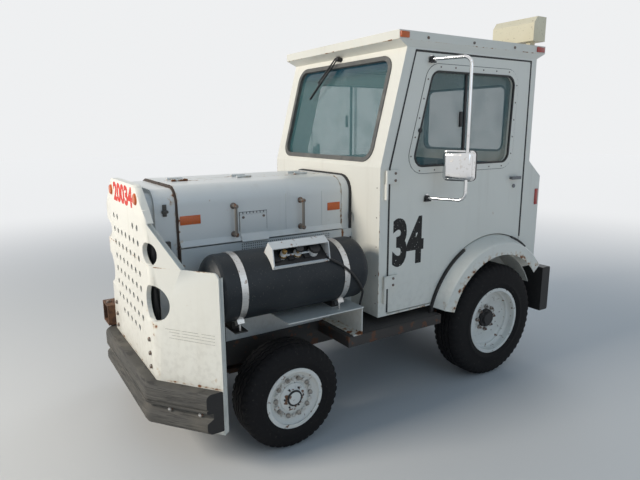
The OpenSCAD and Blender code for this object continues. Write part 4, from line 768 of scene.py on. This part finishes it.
# Roof lamp
# A work lamp in a yellowed cream plastic housing, on two feet screwed to the roof at its
# rear left corner.
cream = Finish("cream plastic", (0.72, 0.66, 0.49), 0.42)
cream.over(cream.noise(4, 4).step(0.4, 0.75) * 0.5, (0.62, 0.54, 0.36))
cream.over(cream.noise(80, 4).step(0.62, 0.7) * 0.6, (0.30, 0.23, 0.14))
cream.height = cream.noise(220, 3)
dress(cream.done(0.2), "roof_lamp")

# Fenders
# Pressed steel flares in white enamel, screwed to the cab's side over the rear wheels. The
# black rubber strip in their joint has peeled off in places.
fender_y, fender_z, strip_r = 0.806, 0.406, 0.556
dress(enamel("fender enamel", [{"x": (0.700, 0.003)}],
             [(0.68, 1.17, 0.73, 0.10), (0.68, 0.37, 0.56, 0.09), (-0.68, 1.16, 0.72, 0.11)], 0.675), "fender_flares")
for name, side in both_sides:
    shape = bmesh.new()
    for start, end in ((172, 118), (70, 52)):
        arc = [math.radians(start + (end - start) * i / 18) for i in range(19)]
        line = [Vector((fender_y + strip_r * math.cos(a), fender_z + strip_r * math.sin(a))) for a in arc]
        band(shape, line, -0.012, 0.010, side * 0.6015, side * 0.618, closed=False)
    piece("fender_strip_" + name, shape, black, "chassis")

# Gas tank
# A welded steel cylinder in satin charcoal, clamped to its shelf by two bright straps. A
# sheet guard covers the brass valves and the gauge, and a rubber hose leads away.
tank_x, tank_z = 0.526, 0.900
tank = Finish("tank paint", (0.010, 0.014, 0.018), 0.45, Specular_IOR_Level=0.3)
dust = tank.noise(5, 5)
tank.over(dust.step(0.45, 0.75) * 0.4, (0.035, 0.038, 0.041), 0.55)
tank.over(tank.noise(110, 5).step(0.64, 0.69) * 0.4, (0.13, 0.12, 0.10), 0.7)
tank.height = dust + tank.noise(300, 3) * 0.3
dress(tank.done(0.2), "gas_tank")
dress(metal, "tank_straps")
dress(enamel("guard enamel", wear=0.60, tone=(0.66, 0.66, 0.64)), "valve_box")
dress(enamel("shelf enamel", [{"z": (0.536, 0.02)}], wear=0.68, tone=(0.68, 0.67, 0.62),
             # The shelf's front part is near black: its black supports there, and painted shade on the shelf
             parts=[({"y": (-1.2, -0.792)}, (0.020, 0.019, 0.018)),
                    ({"z": (0.700, 0.80)}, (0.020, 0.019, 0.018))]),
      "tank_shelf")
# Valves in the guard, in a frame with its origin on the tank's axis and Z out through the guard
guard = Matrix.Translation((tank_x, -0.874, tank_z)) @ Matrix.Rotation(math.radians(38), 4, "Y")
brass = Finish("brass", (0.42, 0.27, 0.10), 0.4)
brass.over(brass.noise(50, 4).step(0.45, 0.65) * 0.7, (0.10, 0.075, 0.045), 0.7)
brass.height = brass.noise(90)
fittings, dark = bmesh.new(), bmesh.new()
filler_y, shut_off_y, gauge_y = 0.0726, 0.1551, 0.2508
for shape, y, low, high, radius, sides in (
        (fittings, filler_y, 0.212, 0.226, 0.012, 16), (fittings, filler_y, 0.186, 0.196, 0.020, 16),
        (fittings, shut_off_y, 0.202, 0.228, 0.009, 16), (fittings, shut_off_y, 0.184, 0.192, 0.023, 16),
        (dark, shut_off_y, 0.226, 0.236, 0.022, 12), (dark, gauge_y, 0.206, 0.222, 0.030, 28)):
    rod(shape, guard @ Vector((0, y, low)), guard @ Vector((0, y, high)), radius, sides)
for y in (0.035, 0.115, 0.205):
    bar(dark, (-0.052, y - 0.016, 0.177), (0.030, y + 0.016, 0.190), guard)
bar(dark, (-0.0528, 0.006, 0.178), (-0.0515, 0.324, 0.229), guard)
bar(dark, (-0.052, 0.006, 0.1775), (0.05, 0.324, 0.1785), guard)
# Gas hose: round the tank by turn in degrees, y and distance from the axis, then into the deck
hose_r = 0.0065
hose = []
for degrees, y, reach in ((53, -0.556, 0.188), (58, -0.528, 0.185), (68, -0.480, 0.182), (82, -0.430, 0.1835),
                          (97, -0.388, 0.1835), (112, -0.352, 0.182), (127, -0.322, 0.184), (142, -0.302, 0.188)):
    angle = math.radians(degrees)
    hose.append(Vector((tank_x + reach * math.sin(angle), y, tank_z + reach * math.cos(angle))))
hose += [Vector(p) for p in ((0.612, -0.291, 0.700), (0.590, -0.284, 0.640), (0.580, -0.282, deck_z + 0.002))]
# One smooth curve through these points, and rings of the hose square to it
route = []
for a, b, c, d in zip(hose[:1] + hose, hose, hose[1:], hose[2:] + hose[-1:]):
    for t in (0.0, 0.25, 0.5, 0.75):
        route.append((2 * b + (c - a) * t + (2 * a - 5 * b + 4 * c - d) * t ** 2
                      + (3 * b - a - 3 * c + d) * t ** 3) / 2)
rings = []
for before, point, after in zip(route[:1] + route, route, route[1:] + route[-1:]):
    along = (after - before).normalized()
    out = along.cross(Vector((1, 0, 0))).normalized()
    over = along.cross(out)
    rings.append([dark.verts.new(point + (out * math.cos(k * math.pi / 6) + over * math.sin(k * math.pi / 6)) * hose_r)
                  for k in range(12)])
for one, two in zip(rings, rings[1:]):
    for k in range(12):
        dark.faces.new((one[k], one[(k + 1) % 12], two[(k + 1) % 12], two[k]))
dark.faces.new(rings[0])
dark.faces.new(rings[-1])
piece("tank_fittings", fittings, brass.done(0.2, 0.9), "chassis")
piece("tank_hose", dark, black, "chassis")

# Axles and rear end
# Forged axles and welded brackets under old black paint, oily round the springs and joints.
# The dashboard's dials, the gear lever and the pedals are bare or plated steel.
dress(ironwork("axle iron", (0.035, 0.030, 0.027), 0.5, 0.5), "front_axle", "rear_axle", "knuckle_left",
      "knuckle_right", "tie_rod", "rear_hitch", "seat_frame")
dress(black, "rear_bumper", "dashboard", "steering_wheel")
shape = bmesh.new()
for x, radius in ((0.20, 0.026), (0.29, 0.034), (0.38, 0.026)):
    rod(shape, (x, 0.028, 1.335), (x, 0.040, 1.345), radius, 24)
rod(shape, (0.10, 0.20, 0.62), (0.10, 0.165, 1.02), 0.009)
bmesh.ops.create_uvsphere(shape, u_segments=16, v_segments=10, radius=0.022,
                          matrix=Matrix.Translation((0.10, 0.163, 1.03)))
for x in (0.21, 0.30, 0.39):
    bar(shape, (x - 0.03, 0.06, 0.70), (x + 0.03, 0.075, 0.78))
    rod(shape, (x, 0.07, 0.74), (x, -0.05, 0.90), 0.007)
piece("cab_controls", shape, steel, "chassis")

# Wheels
# Pressed steel discs in white enamel, bolted to the hubs with plated nuts, with brake dust
# near them. The tyres are black rubber with zigzag grooves and notched shoulders.
def wheel_enamel(name, y, z, hub, nuts):
    """Enamel of a wheel centred on (y, z), dirtier near the radius of its hub and its nuts"""
    paint = Finish(name, (0.74, 0.73, 0.68), 0.35)
    dy, dz = paint.y - y, paint.z - z
    radius = paint.node("ShaderNodeMath", {"operation": "SQRT"}, {0: dy * dy + dz * dz})
    grain = paint.noise(40, 5)
    paint.over(paint.noise(6, 4).step(0.42, 0.75) * 0.4, (0.52, 0.50, 0.45), 0.5)
    paint.over((grain * 0.6 + radius.near(nuts, 0.035) * 0.25).step(0.42, 0.62) * 0.45, (0.28, 0.22, 0.17), 0.7)
    paint.over((grain + radius.near(hub, 0.03) * 0.12).step(0.62, 0.7), (0.16, 0.08, 0.045), 0.85)
    paint.height = grain * 0.4 + paint.noise(300, 2) * 0.2
    return paint.done(0.3)


def bolt_ring(shape, centre, side, reach, count, width, height, sides=6, first=0.0):
    """Bolt heads in a ring round a wheel's centre, on a face that looks to its side"""
    for i in range(count):
        angle = math.tau * (i + first) / count
        place = (centre[0], centre[1] + reach * math.cos(angle), centre[2] + reach * math.sin(angle))
        bolt(shape, place, (side, 0, 0), width, height, sides)


nut_steel = Finish("nut steel", (0.36, 0.35, 0.33), 0.40)
nut_steel.over(nut_steel.noise(70, 4).step(0.56, 0.68) * 0.6, (0.13, 0.09, 0.065), 0.7)
nut_steel.height = nut_steel.noise(200)
nut_steel = nut_steel.done(0.2, 0.85)
tyre = Finish("tyre rubber", (0.007, 0.007, 0.008), 0.8, Specular_IOR_Level=0.2)
tyre.over(tyre.noise(5, 5).step(0.42, 0.75) * 0.4, (0.018, 0.017, 0.016), 0.88)
tyre.over(tyre.noise(60, 5).step(0.60, 0.74) * 0.4, (0.055, 0.050, 0.042))
tyre.height = tyre.noise(90, 4) + tyre.noise(420, 3) * 0.4
tyre = tyre.done(0.5)
shoulder_x, groove_d = 0.058, 0.009
for end, track, y, radius, width, flange, bead, lugs in (("front", 0.592, -0.769, 0.285, 0.215, 0.166, 0.095, 42),
                                                         ("rear", 0.570, 0.806, 0.386, 0.218, 0.226, 0.093, 54)):
    paint = wheel_enamel(end + " wheel enamel", y, radius, 0.05, 0.104 if end == "front" else 0.081)
    for name, side in both_sides:
        dress(paint, "%s_rim_%s" % (end, name))
        # Half of the section as (distance from the middle, radius): bead, side wall with a rib,
        # shoulder, and tread with two grooves
        half = width / 2
        section = [(bead, flange - 0.012), (bead + 0.003, flange + 0.004), (bead + 0.006, flange + 0.012),
                   (half - 0.003, flange + 0.020), (half - 0.003, flange + 0.026), (half, flange + 0.030),
                   (half, flange + 0.036), (half - 0.002, flange + 0.040)]
        for share in (0.25, 0.5, 0.75):
            section.append((half - 0.001 - 0.004 * share, flange + 0.04 + share * (radius - 0.035 - flange - 0.04)))
        section += [(half - 0.008, radius - 0.032), (half - 0.018, radius - 0.014), (half - 0.030, radius - 0.004),
                    (half - 0.042, radius - 0.001)]
        for outer, inner in ((0.052, 0.044), (0.016, 0.008)):
            section += [(outer, radius), (outer, radius - groove_d), (inner, radius - groove_d), (inner, radius)]
        section += [(-x, r) for x, r in reversed(section)]
        shape = bmesh.new()
        ring = [shape.verts.new((side * track + x, y, radius + r)) for x, r in section]
        edges = [shape.edges.new((a, b)) for a, b in zip(ring, ring[1:] + ring[:1])]
        steps = lugs * 4
        bmesh.ops.spin(shape, geom=ring + edges, cent=(side * track, y, radius), axis=(1, 0, 0),
                       angle=math.tau, steps=steps, use_merge=True)
        for vert in shape.verts:
            at = vert.co - Vector((side * track, y, radius))
            reach, angle = math.hypot(at.y, at.z), math.atan2(at.z, at.y)
            part = (angle / math.tau * lugs) % 1
            # Grooves run in a zigzag, and notches cut the shoulders
            if reach > radius - 0.012 and abs(at.x) < shoulder_x:
                vert.co.x += 0.004 * (1 if part < 0.5 else -1)
            if shoulder_x < abs(at.x) < half - 0.005 and reach > radius - 0.034 and part > 0.72:
                keep = (reach - 0.007) / reach
                vert.co.y, vert.co.z = y + at.y * keep, radius + at.z * keep
        made = piece("%s_tread_%s" % (end, name), shape, tyre, "%s_wheel_%s" % (end, name), 50)
        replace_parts(made, "%s_tyre_%s" % (end, name))
        # Nuts with stud ends, and a black hub with its own bolts
        nuts = bmesh.new()
        count, ring_r, face = (10, 0.104, 0.072) if end == "front" else (8, 0.081, 0.017)
        bolt_ring(nuts, (side * (track + face), y, radius), side, ring_r, count, 0.0265, 0.0175)
        bolt_ring(nuts, (side * (track + face + 0.016), y, radius), side, ring_r, count, 0.012, 0.009, 12)
        piece("%s_nuts_%s" % (end, name), nuts, nut_steel if end == "front" else steel,
              "%s_wheel_%s" % (end, name))
        hub = bmesh.new()
        if end == "rear":
            cone(hub, facing((side * (track + 0.027), y, radius), (side, 0, 0)), 0.064, 0.060, 0.020, 48)
            cone(hub, facing((side * (track + 0.045), y, radius), (side, 0, 0)), 0.046, 0.042, 0.016, 48)
            bolt_ring(hub, (side * (track + 0.037), y, radius), side, 0.053, 8, 0.010, 0.006, first=0.5)
        else:
            cone(hub, facing((side * (track + 0.0945), y, radius), (side, 0, 0)), 0.0445, 0.0435, 0.006, 48)
            bolt_ring(hub, (side * (track + 0.084), y, radius), side, 0.056, 6, 0.011, 0.006)
        piece("%s_hub_%s" % (end, name), hub, black, "%s_wheel_%s" % (end, name))

# Seats
# Two foam pads a seat under black vinyl, stuffed tight, screwed to the seat frames from
# below and behind.
vinyl = Finish("seat vinyl", (0.018, 0.018, 0.020), 0.5)
leather = vinyl.noise(240, kind="Voronoi", out="Distance")
vinyl.over(vinyl.noise(8, 4).step(0.45, 0.75) * 0.4, (0.045, 0.043, 0.042), 0.65)
vinyl.height = leather * 0.5 + vinyl.noise(14, 3)
vinyl = vinyl.done(0.4)
seat = bmesh.new()
seat.from_mesh(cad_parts["seat_cushions"].data)
bmesh.ops.remove_doubles(seat, verts=seat.verts, dist=0.0001)
# The node's four pads are told apart by the edges that join their points
pads = []
loose = set(seat.verts)
while loose:
    island, grow = set(), [loose.pop()]
    while grow:
        vert = grow.pop()
        island.add(vert)
        for edge in vert.link_edges:
            other = edge.other_vert(vert)
            if other in loose:
                loose.remove(other)
                grow.append(other)
    pads.append([vert.co.copy() for vert in island])
seat.free()
pads.sort(key=lambda points: (min(p.x for p in points), min(p.z for p in points)))
# Each pad starts smaller, and the cloth's pressure fills it out by swell at most
shrink, swell = 0.90, 0.012
for number, points in enumerate(pads):
    shape = bmesh.new()
    centre = sum(points, Vector()) / len(points)
    for point in points:
        shape.verts.new(centre + (point - centre) * shrink)
    bmesh.ops.convex_hull(shape, input=shape.verts)
    pad = piece("seat_pad_%d" % (number + 1), shape, vinyl, "chassis")
    bpy.context.view_layer.objects.active = pad
    remesh = pad.modifiers.new("remesh", "REMESH")
    remesh.mode, remesh.voxel_size = "VOXEL", 0.014
    bpy.ops.object.modifier_apply(modifier="remesh")
    start = [vert.co.copy() for vert in pad.data.vertices]
    cloth = pad.modifiers.new("cloth", "CLOTH")
    cloth.settings.use_pressure = True
    cloth.settings.uniform_pressure_force = 4
    cloth.settings.effector_weights.gravity = 0
    for step in range(1, 21):
        bpy.context.scene.frame_set(step)
    bpy.ops.object.modifier_apply(modifier="cloth")
    bpy.context.scene.frame_set(1)
    for vert, before in zip(pad.data.vertices, start):
        move = vert.co - before
        if move.length > swell:
            vert.co = before + move * (swell / move.length)
    soft = pad.modifiers.new("soft", "SUBSURF")
    soft.levels = soft.render_levels = 1
    if number == 0:
        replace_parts(pad, "seat_cushions")

# Floor and light
# A plain pale floor, a wide soft lamp from the tug's right front, and weaker ones round it.
# The sky lights the tug dimly in blue, and looks pale to the camera, in glass and in chrome.
floor = bpy.data.objects.new("floor", bpy.data.meshes.new("floor"))
shape = bmesh.new()
bmesh.ops.create_grid(shape, x_segments=1, y_segments=1, size=30)
shape.to_mesh(floor.data)
shape.free()
bpy.context.collection.objects.link(floor)
ground = Finish("floor", (0.62, 0.61, 0.59), 0.8, Emission_Strength=1.0)
ground.height = ground.noise(40, 3)
away = ground.node("ShaderNodeVectorMath", {"operation": "LENGTH"}, {0: ground.place}, 1).step(2.4, 9.0)
pale = ground.node("ShaderNodeMix", {"data_type": "RGBA"}, {0: away, 6: (0, 0, 0, 1), 7: (0.77, 0.78, 0.79, 1)}, 2)
ground.over(away, (0.02, 0.02, 0.02))
ground.tree.links.new(pale.socket, ground.shader.inputs["Emission Color"])
floor.data.materials.append(ground.done(0.05))
world = bpy.data.worlds.new("world")
bpy.context.scene.world = world
world.use_nodes = True
nodes, links = world.node_tree.nodes, world.node_tree.links
lit, seen = nodes["Background"], nodes.new("ShaderNodeBackground")
lit.inputs[0].default_value, lit.inputs[1].default_value = (0.58, 0.77, 1.0, 1), 0.34
seen.inputs[0].default_value, seen.inputs[1].default_value = (0.86, 0.87, 0.88, 1), 1.0
path, either, both, mixed = (nodes.new(kind) for kind in (
    "ShaderNodeLightPath", "ShaderNodeMath", "ShaderNodeMath", "ShaderNodeMixShader"))
either.operation = both.operation = "MAXIMUM"
links.new(path.outputs["Is Camera Ray"], either.inputs[0])
links.new(path.outputs["Is Glossy Ray"], either.inputs[1])
links.new(either.outputs[0], both.inputs[0])
links.new(path.outputs["Is Transmission Ray"], both.inputs[1])
links.new(both.outputs[0], mixed.inputs[0])
links.new(lit.outputs[0], mixed.inputs[1])
links.new(seen.outputs[0], mixed.inputs[2])
links.new(mixed.outputs[0], nodes["World Output"].inputs[0])
aim = Vector((0, 0, 0.9))
for name, place, size, power, colour in (
        ("key", (-0.6, -7.0, 4.4), 2.2, 455, (1.0, 0.94, 0.85)),
        ("fill", (5.5, -0.5, 3.6), 4.0, 38, (0.58, 0.79, 1.0)),
        ("back", (-3.5, 5.0, 4.5), 4.0, 110, (0.90, 0.95, 1.0))):
    lamp = bpy.data.objects.new(name, bpy.data.lights.new(name, "AREA"))
    lamp.data.size, lamp.data.energy, lamp.data.color = size, power, colour
    lamp.matrix_world = facing(place, Vector(place) - aim)
    bpy.context.collection.objects.link(lamp)
